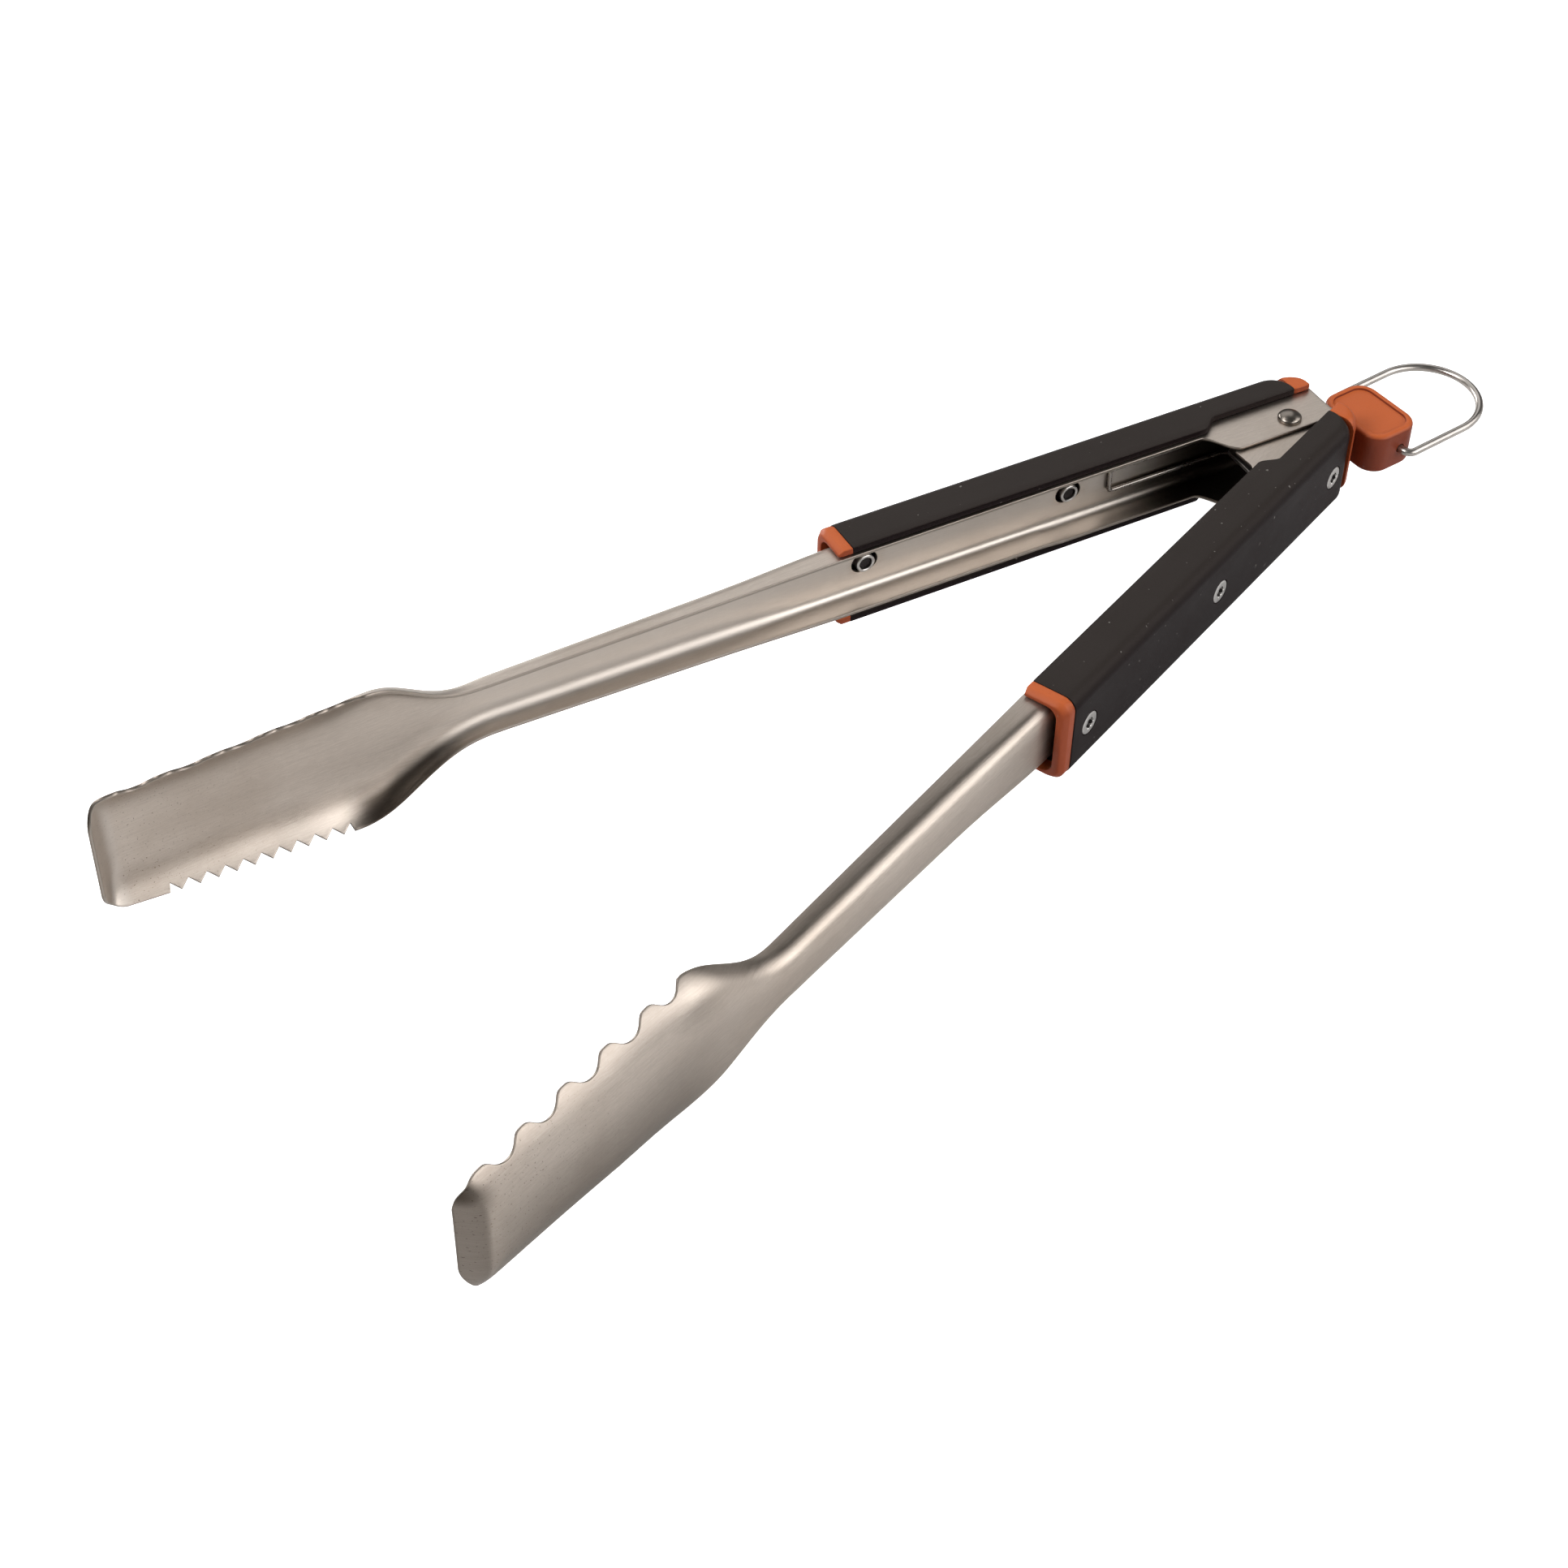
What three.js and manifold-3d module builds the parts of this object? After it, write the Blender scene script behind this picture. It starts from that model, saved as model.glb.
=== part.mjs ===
// Spring loaded kitchen tongs: two pressed steel arms on one rivet, a torsion spring that opens them,
// plastic handle covers with coloured end trims, and a sliding lock with a hanging loop.
//
// Millimetres, +Z up. Each arm is drawn in its own frame: x runs back from the rivet (so the blade is
// at negative x), y runs outward from the rivet axis, z is the width. The far arm is turned by
// -HALF_OPEN_ANGLE about the rivet axis, and the near arm is its mirror image.

import * as THREE from "three";
import { mergeVertices } from "three/addons/utils/BufferGeometryUtils.js";
import Module from "manifold-3d";

const wasm = await Module();
wasm.setup();

// ---- driving dimensions -------------------------------------------------------------------------

const HALF_OPEN_ANGLE = THREE.MathUtils.degToRad(12.41);
const PIVOT_DEPTH = 6.2; // rivet axis to the open edge plane of each arm
const ARM_LENGTH = 431.7; // rivet axis to the tip
const SHEET = 1.2; // steel thickness
const GAP = 0.3; // clearance between touching pieces

const CHANNEL_HALF_WIDTH = 13;
const NESTED_HALF_WIDTH = 11.4; // the near arm's ears fit inside the far arm's
const WEB_DEPTH = 9.1; // outer face of the channel's web
const BEND_RADIUS = 4;
const EAR_REAR = 16.5; // how far the ears reach behind the rivet
const EAR_DEPTH = -12.2; // inner edge of the ears
const EAR_CORNER = 1.6;
const OPEN_EDGE = -1.6; // inner edge of the channel's walls
const ROOT_START = 302; // the channel begins to open out into the blade
const ROOT_END = 347;
const SLOT_LENGTH = 2.4; // between the centres of a sleeve slot's round ends
const SLOT_RADIUS = 3.8;

const TIP_CORNER_RADIUS = 6;
const LIP_START = 421.2;
const LIP_RADIUS = 7;
const LIP_ANGLE = THREE.MathUtils.degToRad(50);
const TOOTH_PITCH = 5.93;
const TOOTH_DEPTH = 3;
const TOOTH_COUNT = 10;
const FIRST_TOOTH = 353.6;
const SCALLOP_PITCH = 16.75;
const SCALLOP_DEPTH = 4;
const SCALLOP_COUNT = 4; // the full ones; a narrower one follows next to the root
const SCALLOP_SQUARENESS = 2.4; // 2 is a parabola, more is flatter at the bottom
const LOBE_WIDTH = 4.8;
const SCALLOPED_SIDE_EXTRA = 1; // the scalloped side is this much wider than the toothed side
const LAST_LOBE = 420.4; // where the last scallop ends
const ROOT_LOBE = 342.4; // where the first scallop begins

const COVER_FRONT = 170;
const COVER_REAR = -9;
const COVER_DEPTH = 15.5;
const COVER_EDGE = -0.8;
const COVER_EAR_EDGE = 3.8;
const COVER_HALF_WIDTH = 16;
const COVER_WALL = 3;
const COVER_CORNER = 4.6;
const COVER_END_RADIUS = 7;
const BOSS_RADIUS = 5.4;
const TRIM_LENGTH = 5;
const TRIM_CHAMFER = 1;
const SCREW_STATIONS = { front: 160.2, middle: 80.3, rear: 4.2 };
const SCREW_HEAD_RADIUS = 4.15;
const SCREW_HEAD_HEIGHT = 1.2;
const SHANK_RADIUS = 2;
const SOCKET_RADIUS = 1.7;
const SLEEVE_RADIUS = 3.5;
const SLEEVE_TOP = 12.3;
const FLANGE_RADIUS = 4.7;
const FLANGE_THICKNESS = 0.9;

const RIVET_RADIUS = 2.5;
const RIVET_HEAD_RADIUS = 4.15;
const RIVET_HEAD_EDGE = 0.9; // the straight side of a head, below its dome
const RIVET_CROWN = 1.9;
const BUSH_RADIUS = 5.2;
const COIL_RADIUS = 6.4;
const COIL_TURNS = 2;
const COIL_INNER_HEIGHT = 4.6; // the coil's end next to the lock plate, above the middle plane
const SPRING_WIRE_RADIUS = 0.8;
const SPRING_LEG = 64; // rivet axis to the bridge at the end of the spring's legs
const SPRING_LEG_DIFFERENCE = 14; // the legs on the near arm are shorter by this
const SPRING_KNEE = 14; // rivet axis to where the legs on the far arm leave its web
const LOCK_PLATE_THICKNESS = 1.5;
const LOCK_PLATE_HALF_WIDTH = 4;
const LOCK_HEAD_HALF_WIDTH = 8;
const LOCK_HEAD_START = 14;
const LOCK_HEAD_END = 19;
const LOCK_HEAD_CORNER = 1.5;
const LOCK_PLATE_REAR = -30;
const LOCK_TRAVEL = 9;

const TAB_SIZE = new THREE.Vector3(21.4, 30, 15.4);
const TAB_CENTRE = new THREE.Vector2(30.8, -10.7);
const TAB_YAW = THREE.MathUtils.degToRad(-6);
const TAB_CORNER_RADIUS = 7;
const TAB_PANEL_MARGIN = 2.4;
const TAB_PANEL_DEPTH = 0.5;
const TAB_POCKET_DEPTH = 9;
const LOOP_WIRE_RADIUS = 1.4;
const LOOP_HALF_WIDTH = 19.4;
const LOOP_LENGTH = 45;
const LOOP_BEND_RADIUS = 3;
const LOOP_END_DEPTH = 4; // how far the wire's ends reach into the tab
const LOOP_SET_BACK = 2; // from the tab's centre to the loop's hinge line
const LOOP_PITCH = THREE.MathUtils.degToRad(1.5);

// ---- materials ----------------------------------------------------------------------------------

const brushedSteel = surface(0xb9aea5, 0.34, 1);
const blackPlastic = surface(0x2f2b2c, 0.48, 0);
const orangePlastic = surface(0xc0592c, 0.5, 0);
const screwZinc = surface(0xb4b2b0, 0.42, 1);
const springSteel = surface(0x8f8880, 0.36, 1);
const bushNylon = surface(0x3a3838, 0.55, 0);

function surface(color, roughness, metalness) {
  return new THREE.MeshStandardMaterial({ color, roughness, metalness });
}

// ---- solids -------------------------------------------------------------------------------------

function solid(geometry) {
  const bare = geometry.clone();
  bare.deleteAttribute("normal");
  bare.deleteAttribute("uv");
  const merged = mergeVertices(bare, 1e-3);
  return new wasm.Manifold(
    new wasm.Mesh({
      numProp: 3,
      vertProperties: new Float32Array(merged.attributes.position.array),
      triVerts: new Uint32Array(merged.index.array),
    }),
  );
}

function geometryOf(body) {
  const { vertProperties, triVerts } = body.getMesh();
  return new THREE.BufferGeometry()
    .setAttribute("position", new THREE.BufferAttribute(vertProperties, 3))
    .setIndex(new THREE.BufferAttribute(triVerts, 1));
}

// The base geometry with every geometry in cuts taken away.
function cut(base, ...cuts) {
  return geometryOf(cuts.reduce((body, tool) => body.subtract(solid(tool)), solid(base)));
}

function join(base, ...others) {
  return geometryOf(others.reduce((body, other) => body.add(solid(other)), solid(base)));
}

function common(base, other) {
  return geometryOf(solid(base).intersect(solid(other)));
}

function piece(name, geometry, material) {
  const mesh = new THREE.Mesh(geometry, material.clone());
  mesh.name = name;
  return mesh;
}

// ---- outlines and simple forms ------------------------------------------------------------------

// A plate whose outline lies in the arm's side view, given as [distance to the tip, depth] points.
function sidePlate(outline, zLow, zHigh) {
  const shape = new THREE.Shape(outline.map(([s, d]) => new THREE.Vector2(-s, d + PIVOT_DEPTH)));
  const depth = zHigh - zLow;
  return new THREE.ExtrudeGeometry(shape, { depth, bevelEnabled: false }).translate(0, 0, zLow);
}

// A bar with a [depth, width] section that runs along the arm between two stations.
function bar(section, sLow, sHigh) {
  const shape = new THREE.Shape(section.map(([d, z]) => new THREE.Vector2(d + PIVOT_DEPTH, z)));
  const turn = new THREE.Matrix4().makeBasis(
    new THREE.Vector3(0, 1, 0),
    new THREE.Vector3(0, 0, 1),
    new THREE.Vector3(1, 0, 0),
  );
  return new THREE.ExtrudeGeometry(shape, { depth: sHigh - sLow, bevelEnabled: false })
    .applyMatrix4(turn)
    .translate(-sHigh, 0, 0);
}

// Points of an arc about a centre, both ends included.
function arc([cx, cy], radius, fromDegrees, toDegrees, steps) {
  return Array.from({ length: steps + 1 }, (_, i) => {
    const angle = THREE.MathUtils.degToRad(fromDegrees + ((toDegrees - fromDegrees) * i) / steps);
    return [cx + radius * Math.cos(angle), cy + radius * Math.sin(angle)];
  });
}

// The section of a bar that is open towards the grip side, with two round outer corners.
function roundedSection(depth, halfWidth, radius, edge) {
  return [
    [edge, -halfWidth],
    ...arc([depth - radius, radius - halfWidth], radius, -90, 0, 4),
    ...arc([depth - radius, halfWidth - radius], radius, 0, 90, 4),
    [edge, halfWidth],
  ];
}

// A turned piece on the arm's outward axis at a station, from [radius, depth] points.
function turned(profile, station, segments = 14) {
  const points = profile.map(([r, d]) => new THREE.Vector2(r, d + PIVOT_DEPTH));
  return new THREE.LatheGeometry(points, segments).translate(-station, 0, 0);
}

// A turned piece on the rivet axis, from [radius, height] points.
function turnedOnRivet(profile, segments = 16) {
  const points = profile.map(([r, z]) => new THREE.Vector2(r, z));
  return new THREE.LatheGeometry(points, segments).rotateX(Math.PI / 2);
}

// A tube's profile from its inner and outer radius, which closes on itself.
function tubeProfile(inner, outer, low, high) {
  return [
    [inner, low],
    [outer, low],
    [outer, high],
    [inner, high],
    [inner, low],
  ];
}

function rodProfile(radius, low, high) {
  return [
    [0, low],
    [radius, low],
    [radius, high],
    [0, high],
  ];
}

// A path through given points that a section is swept along, one step from point to point.
class WirePath extends THREE.Curve {
  constructor(points) {
    super();
    this.points = points;
  }

  getPointAt(u) {
    return this.points[Math.round(u * (this.points.length - 1))].clone();
  }

  getTangentAt(u) {
    const i = Math.round(u * (this.points.length - 1));
    const last = this.points.length - 1;
    const [before, after] = [this.points[Math.max(i - 1, 0)], this.points[Math.min(i + 1, last)]];
    return after.clone().sub(before).normalize();
  }
}

function wire(points, radius, sides) {
  const section = new THREE.Shape(
    arc([0, 0], radius, 0, 360 - 360 / sides, sides - 1).map(([x, y]) => new THREE.Vector2(x, y)),
  );
  const extrudePath = new WirePath(points);
  return new THREE.ExtrudeGeometry(section, { steps: points.length - 1, extrudePath });
}

// A function of the station that passes through [station, value] keys; ease shapes each stretch.
function keyed(keys, ease) {
  return (s) => {
    const next = keys.findIndex(([key]) => key > s);
    if (next === 0) return keys[0][1];
    if (next < 0) return keys[keys.length - 1][1];
    const [[s0, v0], [s1, v1]] = [keys[next - 1], keys[next]];
    return THREE.MathUtils.lerp(v0, v1, ease(s, s0, s1));
  };
}

function smoothKeys(keys) {
  return keyed(keys, THREE.MathUtils.smoothstep);
}

function straightKeys(keys) {
  return keyed(keys, (s, s0, s1) => THREE.MathUtils.inverseLerp(s0, s1, s));
}

// ---- the pressed steel arm ----------------------------------------------------------------------

// The sheet's outer face at a station is a web, a bend and a wall on each side.
const webDepth = straightKeys([
  [175, WEB_DEPTH],
  [300, 7],
  [335, 4.9],
  [352, 3.9],
  [375, 3.2],
  [400, 1.4],
  [ARM_LENGTH, -0.6],
]);
const bendRadius = smoothKeys([
  [306, BEND_RADIUS],
  [330, 7],
  [362, 19],
]);
const wallAngle = smoothKeys([
  [308, 90],
  [334, 78],
  [364, 50],
]);
const farHalfWidth = straightKeys([
  [175, CHANNEL_HALF_WIDTH],
  [300, 11.2],
]);
const bladeHalfWidth = straightKeys([
  [346, 26.2],
  [ARM_LENGTH, 22.4],
]);
const wallEdge = smoothKeys([
  [46, OPEN_EDGE],
  [175, OPEN_EDGE],
  [306, -1.8],
  [346, -5],
  [400, -6.6],
]);
const farEarEdge = smoothKeys([
  [-EAR_REAR, EAR_DEPTH + EAR_CORNER],
  [2 - EAR_REAR, EAR_DEPTH],
  [24, EAR_DEPTH],
  [33.5, OPEN_EDGE],
]);
const nearEarEdge = straightKeys([
  [-EAR_REAR, EAR_DEPTH + EAR_CORNER],
  [2 - EAR_REAR, EAR_DEPTH],
  [25.8, EAR_DEPTH],
  [29, -4],
  [32, OPEN_EDGE],
]);
const nearNesting = smoothKeys([
  [34, CHANNEL_HALF_WIDTH - NESTED_HALF_WIDTH],
  [45, 0],
]);

// The sheet's section on one side of the arm; side is above zero on the scalloped side.
function sectionAt(s, side, nested) {
  const angle = THREE.MathUtils.degToRad(wallAngle(s));
  const radius = bendRadius(s);
  const web = webDepth(s);
  const blade = THREE.MathUtils.smootherstep(s, ROOT_START, ROOT_END);
  const extra = side > 0 ? SCALLOPED_SIDE_EXTRA : 0;
  const neck = farHalfWidth(s) - (nested ? nearNesting(s) : 0);
  const halfWidth = THREE.MathUtils.lerp(neck, bladeHalfWidth(s) + extra, blade);
  const earEdge = nested ? nearEarEdge : farEarEdge;
  const edge = (s < 46 ? earEdge(s) : wallEdge(s)) + 0.5 * extra * blade;
  const wall = (web - edge - radius * (1 - Math.cos(angle))) / Math.sin(angle);
  const flat = halfWidth - radius * Math.sin(angle) - wall * Math.cos(angle);
  return { angle, radius, web, wall, flat, bend: radius * angle };
}

// How far the tip's lip has turned inward at a station.
function lipDrop(s) {
  const run = Math.max(s - LIP_START, 0);
  const arcRun = LIP_RADIUS * Math.sin(LIP_ANGLE);
  if (run < arcRun) return LIP_RADIUS - Math.sqrt(LIP_RADIUS ** 2 - run * run);
  return LIP_RADIUS * (1 - Math.cos(LIP_ANGLE)) + (run - arcRun) * Math.tan(LIP_ANGLE);
}

// A point of the outer face: reach is the distance from the centre line measured over the sheet.
function facePoint(s, reach, nested) {
  const { angle, radius, web, flat, bend } = sectionAt(s, reach, nested);
  const over = Math.abs(reach);
  const turn = THREE.MathUtils.clamp((over - flat) / radius, 0, angle);
  const along = Math.max(over - flat - bend, 0);
  const z = Math.min(over, flat) + radius * Math.sin(turn) + along * Math.cos(angle);
  const drop = radius * (1 - Math.cos(turn)) + along * Math.sin(angle);
  const depth = web - Math.hypot(drop, lipDrop(s));
  return new THREE.Vector3(-s, depth + PIVOT_DEPTH, Math.sign(reach) * z);
}

// The direction from the outer face into the sheet.
function inwardNormal(s, reach, nested) {
  const step = 0.2;
  const alongArm = facePoint(s + step, reach, nested).sub(facePoint(s - step, reach, nested));
  const side = Math.abs(reach) < step ? 1 : Math.sign(reach);
  const base = Math.max(Math.abs(reach), step) * side;
  const across = facePoint(s, base + step, nested).sub(facePoint(s, base - step, nested));
  return across.cross(alongArm).normalize();
}

function toothCut(s) {
  const phase = (s - FIRST_TOOTH) / TOOTH_PITCH;
  if (phase < -0.51 || phase > TOOTH_COUNT - 0.49) return 0;
  return TOOTH_DEPTH * 2 * Math.abs(phase - Math.round(phase));
}

// The scallops are bites between lobes; the one next to the root is narrower than the rest.
function scallopCut(s) {
  for (let i = 0; i <= SCALLOP_COUNT; i++) {
    const high = LAST_LOBE - i * SCALLOP_PITCH;
    const low = i < SCALLOP_COUNT ? high - SCALLOP_PITCH + LOBE_WIDTH : ROOT_LOBE;
    if (s > low && s < high) {
      const offset = Math.abs(2 * s - high - low) / (high - low);
      return SCALLOP_DEPTH * (1 - offset ** SCALLOP_SQUARENESS);
    }
  }
  return 0;
}

// How far the sheet reaches to one side, with its teeth, scallops and round tip corner.
function edgeReach(s, side, nested) {
  const { angle, radius, flat, bend, wall } = sectionAt(s, side, nested);
  const full = flat + bend + wall - (side > 0 ? scallopCut(s) : toothCut(s));
  const past = s - (ARM_LENGTH - TIP_CORNER_RADIUS);
  if (past <= 0) return full;
  const drop = TIP_CORNER_RADIUS - Math.sqrt(TIP_CORNER_RADIUS ** 2 - past * past);
  const inside = drop / Math.cos(angle);
  return Math.max(full - inside, flat + radius * 0.2);
}

function armStations(nested) {
  const ear = nested ? [25.8, 27, 29, 30.5, 32, 34] : [24, 26, 28, 30, 32, 33.5];
  const blade = Array.from(
    { length: 2 * (TOOTH_COUNT + 2) },
    (_, i) => FIRST_TOOTH - TOOTH_PITCH + (i * TOOTH_PITCH) / 2,
  );
  const tip = [12.9, 11.1, 8.7, 6.7, 4.7, 2.7, 1.4, 0.5, 0].map((back) => ARM_LENGTH - back);
  const root = [300, 307, 313, 319, 325, 331, 336, 340, 342.4, 344];
  return [-EAR_REAR, 1 - EAR_REAR, 2 - EAR_REAR, 0, 14, ...ear, 38, 41.5, 46, 110, 175, 240]
    .concat(root, blade, tip)
    .filter((s, i, all) => i === 0 || s > all[i - 1] + 0.2);
}

// Reach values from the centre line to one edge, closer together round the bend.
function reachRow(s, side, nested) {
  const { flat, bend } = sectionAt(s, side, nested);
  const edge = edgeReach(s, side, nested);
  const bendSteps = 3;
  const inner = Array.from({ length: bendSteps + 1 }, (_, i) => flat + (bend * i) / bendSteps);
  const limited = inner.map((reach, i) => Math.min(reach, edge - 0.12 * (inner.length - i)));
  return [...limited, edge];
}

// The arm's sheet as one closed body: an outer face, an inner face a thickness away, and its rim.
function steelSheet(nested) {
  const rows = armStations(nested).map((s) => {
    const below = reachRow(s, -1, nested).reverse().map((reach) => -reach);
    return [...below, 0, ...reachRow(s, 1, nested)].map((reach) => {
      const outer = facePoint(s, reach, nested);
      const inner = outer.clone().addScaledVector(inwardNormal(s, reach, nested), SHEET);
      return [outer, inner];
    });
  });
  const columns = rows[0].length;
  const positions = rows.flat().flatMap(([outer, inner]) => [...outer.toArray(), ...inner.toArray()]);
  const index = [];
  const at = (row, column, side) => 2 * (row * columns + column) + side;
  const quad = (a, b, c, d) => index.push(a, c, b, a, d, c);
  for (let row = 0; row < rows.length - 1; row++) {
    for (let column = 0; column < columns - 1; column++) {
      const [next, beside] = [row + 1, column + 1];
      quad(at(row, column, 0), at(row, beside, 0), at(next, beside, 0), at(next, column, 0));
      quad(at(row, column, 1), at(next, column, 1), at(next, beside, 1), at(row, beside, 1));
    }
    quad(at(row, 0, 0), at(row + 1, 0, 0), at(row + 1, 0, 1), at(row, 0, 1));
    const edge = columns - 1;
    quad(at(row, edge, 0), at(row, edge, 1), at(row + 1, edge, 1), at(row + 1, edge, 0));
  }
  for (let column = 0; column < columns - 1; column++) {
    const [last, beside] = [rows.length - 1, column + 1];
    quad(at(0, column, 0), at(0, column, 1), at(0, beside, 1), at(0, beside, 0));
    quad(at(last, column, 0), at(last, beside, 0), at(last, beside, 1), at(last, column, 1));
  }
  return new THREE.BufferGeometry()
    .setAttribute("position", new THREE.Float32BufferAttribute(positions, 3))
    .setIndex(index);
}

// A slot through the web that the cover's screw sleeve passes with room to spare.
function sleeveSlot(station) {
  const outline = [
    ...arc([station + SLOT_LENGTH / 2, 0], SLOT_RADIUS, -90, 90, 6),
    ...arc([station - SLOT_LENGTH / 2, 0], SLOT_RADIUS, 90, 270, 6),
  ];
  const shape = new THREE.Shape(outline.map(([s, z]) => new THREE.Vector2(-s, z)));
  return new THREE.ExtrudeGeometry(shape, { depth: 10, bevelEnabled: false })
    .rotateX(-Math.PI / 2)
    .translate(0, PIVOT_DEPTH + 3, 0);
}

function steelArm(name, nested) {
  const rivetHole = turnedOnRivet(rodProfile(RIVET_RADIUS + GAP, -20, 20));
  const slots = Object.values(SCREW_STATIONS).map(sleeveSlot);
  return piece(name, cut(steelSheet(nested), rivetHole, ...slots), brushedSteel);
}

// ---- handle cover, trims and screws -------------------------------------------------------------

// The cover's side view, which is cut away for the ears at its rear.
function coverOutline() {
  const endCentre = [COVER_REAR + COVER_END_RADIUS, COVER_DEPTH - COVER_END_RADIUS];
  return [
    [COVER_FRONT - GAP, COVER_EDGE],
    [COVER_FRONT - GAP, COVER_DEPTH],
    ...arc(endCentre, COVER_END_RADIUS, 90, 155, 5),
    [COVER_REAR, COVER_EAR_EDGE],
    [24.5, COVER_EAR_EDGE],
    [26.8, COVER_EAR_EDGE - 0.6],
    [30.5, COVER_EDGE + 0.7],
    [31.4, COVER_EDGE],
  ];
}

// The room for the steel channel inside a cover or a trim.
function channelRoom(depth, sLow, sHigh) {
  const inside = CHANNEL_HALF_WIDTH + GAP;
  return bar(roundedSection(depth, inside, BEND_RADIUS, -20), sLow, sHigh);
}

function cover(name) {
  const section = roundedSection(COVER_DEPTH, COVER_HALF_WIDTH, COVER_CORNER, -5);
  const outside = bar(section, COVER_REAR - 1, COVER_FRONT);
  const side = sidePlate(coverOutline(), -COVER_HALF_WIDTH - 1, COVER_HALF_WIDTH + 1);
  const room = channelRoom(COVER_DEPTH - COVER_WALL, COVER_REAR - 2, COVER_FRONT + 1);
  const stations = Object.values(SCREW_STATIONS);
  const boss = rodProfile(BOSS_RADIUS, WEB_DEPTH + GAP, COVER_DEPTH - 1);
  const bosses = stations.map((s) => turned(boss, s));
  const holes = stations.map((s) =>
    turned(
      [
        [0, 5],
        [SLEEVE_RADIUS + GAP, 5],
        [SLEEVE_RADIUS + GAP, SLEEVE_TOP + GAP],
        [SHANK_RADIUS + 0.4, SLEEVE_TOP + GAP],
        [SHANK_RADIUS + 0.4, COVER_DEPTH - 1.6],
        [SCREW_HEAD_RADIUS + GAP, COVER_DEPTH - 1.6],
        [SCREW_HEAD_RADIUS + GAP, COVER_DEPTH + 2],
        [0, COVER_DEPTH + 2],
      ],
      s,
    ),
  );
  const shell = cut(common(outside, side), room);
  return piece(name, cut(join(shell, ...bosses), ...holes), blackPlastic);
}

// A collar whose front face is stepped in.
function frontTrim(name) {
  const front = COVER_FRONT + TRIM_LENGTH;
  const ring = (inset, corner, sLow, sHigh) =>
    bar(
      roundedSection(COVER_DEPTH - inset, COVER_HALF_WIDTH - inset, corner, COVER_EDGE),
      sLow,
      sHigh,
    );
  const back = ring(0.2, COVER_CORNER, COVER_FRONT, front - 1.2);
  const face = ring(TRIM_CHAMFER, COVER_CORNER - 0.6, front - 1.3, front);
  const room = channelRoom(11.8, COVER_FRONT - 1, front + 1);
  return piece(name, cut(join(back, face), room), orangePlastic);
}

// An end cap that slopes down behind the rivet.
function rearTrim(name) {
  const rear = COVER_REAR - GAP;
  const outline = [
    [rear, COVER_EAR_EDGE],
    [rear, COVER_DEPTH - 2.2],
    [-10.6, 13.9],
    [-15.6, 10.3],
    [-16.2, 9.2],
    [-15.6, COVER_EAR_EDGE],
  ];
  const section = roundedSection(COVER_DEPTH - GAP, COVER_HALF_WIDTH - GAP, COVER_CORNER, -5);
  const outside = bar(section, -20, rear);
  const side = sidePlate(outline, -COVER_HALF_WIDTH, COVER_HALF_WIDTH);
  const room = channelRoom(WEB_DEPTH + GAP, -22, rear + 1);
  return piece(name, cut(common(outside, side), room), orangePlastic);
}

// A flush pan head with a hexagonal socket, and its shank.
function coverScrew(name, station) {
  const low = 7.6;
  const top = COVER_DEPTH + 0.1;
  const body = turned(
    [
      [0, low],
      [SHANK_RADIUS, low],
      [SHANK_RADIUS, top - SCREW_HEAD_HEIGHT],
      [SCREW_HEAD_RADIUS, top - SCREW_HEAD_HEIGHT],
      [SCREW_HEAD_RADIUS, top - 0.3],
      [SCREW_HEAD_RADIUS - 0.3, top],
      [0, top],
    ],
    station,
  );
  const socket = turned(rodProfile(SOCKET_RADIUS, top - 0.9, top + 1), station, 6);
  return piece(name, cut(body, socket), screwZinc);
}

// A flanged sleeve that stands in the web's slot and takes the screw.
function sleeve(name, station) {
  const inner = SHANK_RADIUS + GAP;
  const face = WEB_DEPTH - SHEET - GAP;
  const body = turned(
    [
      [inner, face - FLANGE_THICKNESS],
      [FLANGE_RADIUS, face - FLANGE_THICKNESS],
      [FLANGE_RADIUS, face],
      [SLEEVE_RADIUS, face],
      [SLEEVE_RADIUS, SLEEVE_TOP],
      [inner, SLEEVE_TOP],
      [inner, face - FLANGE_THICKNESS],
    ],
    station,
  );
  return piece(name, body, screwZinc);
}

// ---- rivet, bushes and spring -------------------------------------------------------------------

function pivotRivet() {
  const seat = CHANNEL_HALF_WIDTH + 0.05;
  const rim = seat + RIVET_HEAD_EDGE;
  const dome = Array.from({ length: 5 }, (_, i) => {
    const radius = RIVET_HEAD_RADIUS * (1 - i / 4);
    return [radius, rim + RIVET_CROWN * (1 - (radius / RIVET_HEAD_RADIUS) ** 2)];
  });
  const upper = [[RIVET_RADIUS, 0], [RIVET_RADIUS, seat], [RIVET_HEAD_RADIUS, seat], ...dome];
  const lower = upper.map(([r, z]) => [r, -z]).reverse();
  const profile = [...lower, ...upper.slice(1)];
  return piece("pivot_rivet", turnedOnRivet(profile), screwZinc);
}

function bush(name, low, high) {
  const profile = tubeProfile(RIVET_RADIUS + GAP, BUSH_RADIUS, low, high);
  return piece(name, turnedOnRivet(profile), bushNylon);
}

// A point given in an arm's frame; side is 1 on the far arm and -1 on the near arm.
function armPoint(along, out, z, side) {
  const upright = new THREE.Vector3(0, 0, 1);
  return new THREE.Vector3(-along, side * (out + PIVOT_DEPTH), z).applyAxisAngle(
    upright,
    -side * HALF_OPEN_ANGLE,
  );
}

// The angle at which a leg to a point leaves the coil, along the coil's tangent.
function legAngle(end, side) {
  const distance = Math.hypot(end.x, end.y);
  return Math.atan2(end.y, end.x) + side * Math.acos(COIL_RADIUS / distance);
}

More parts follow.
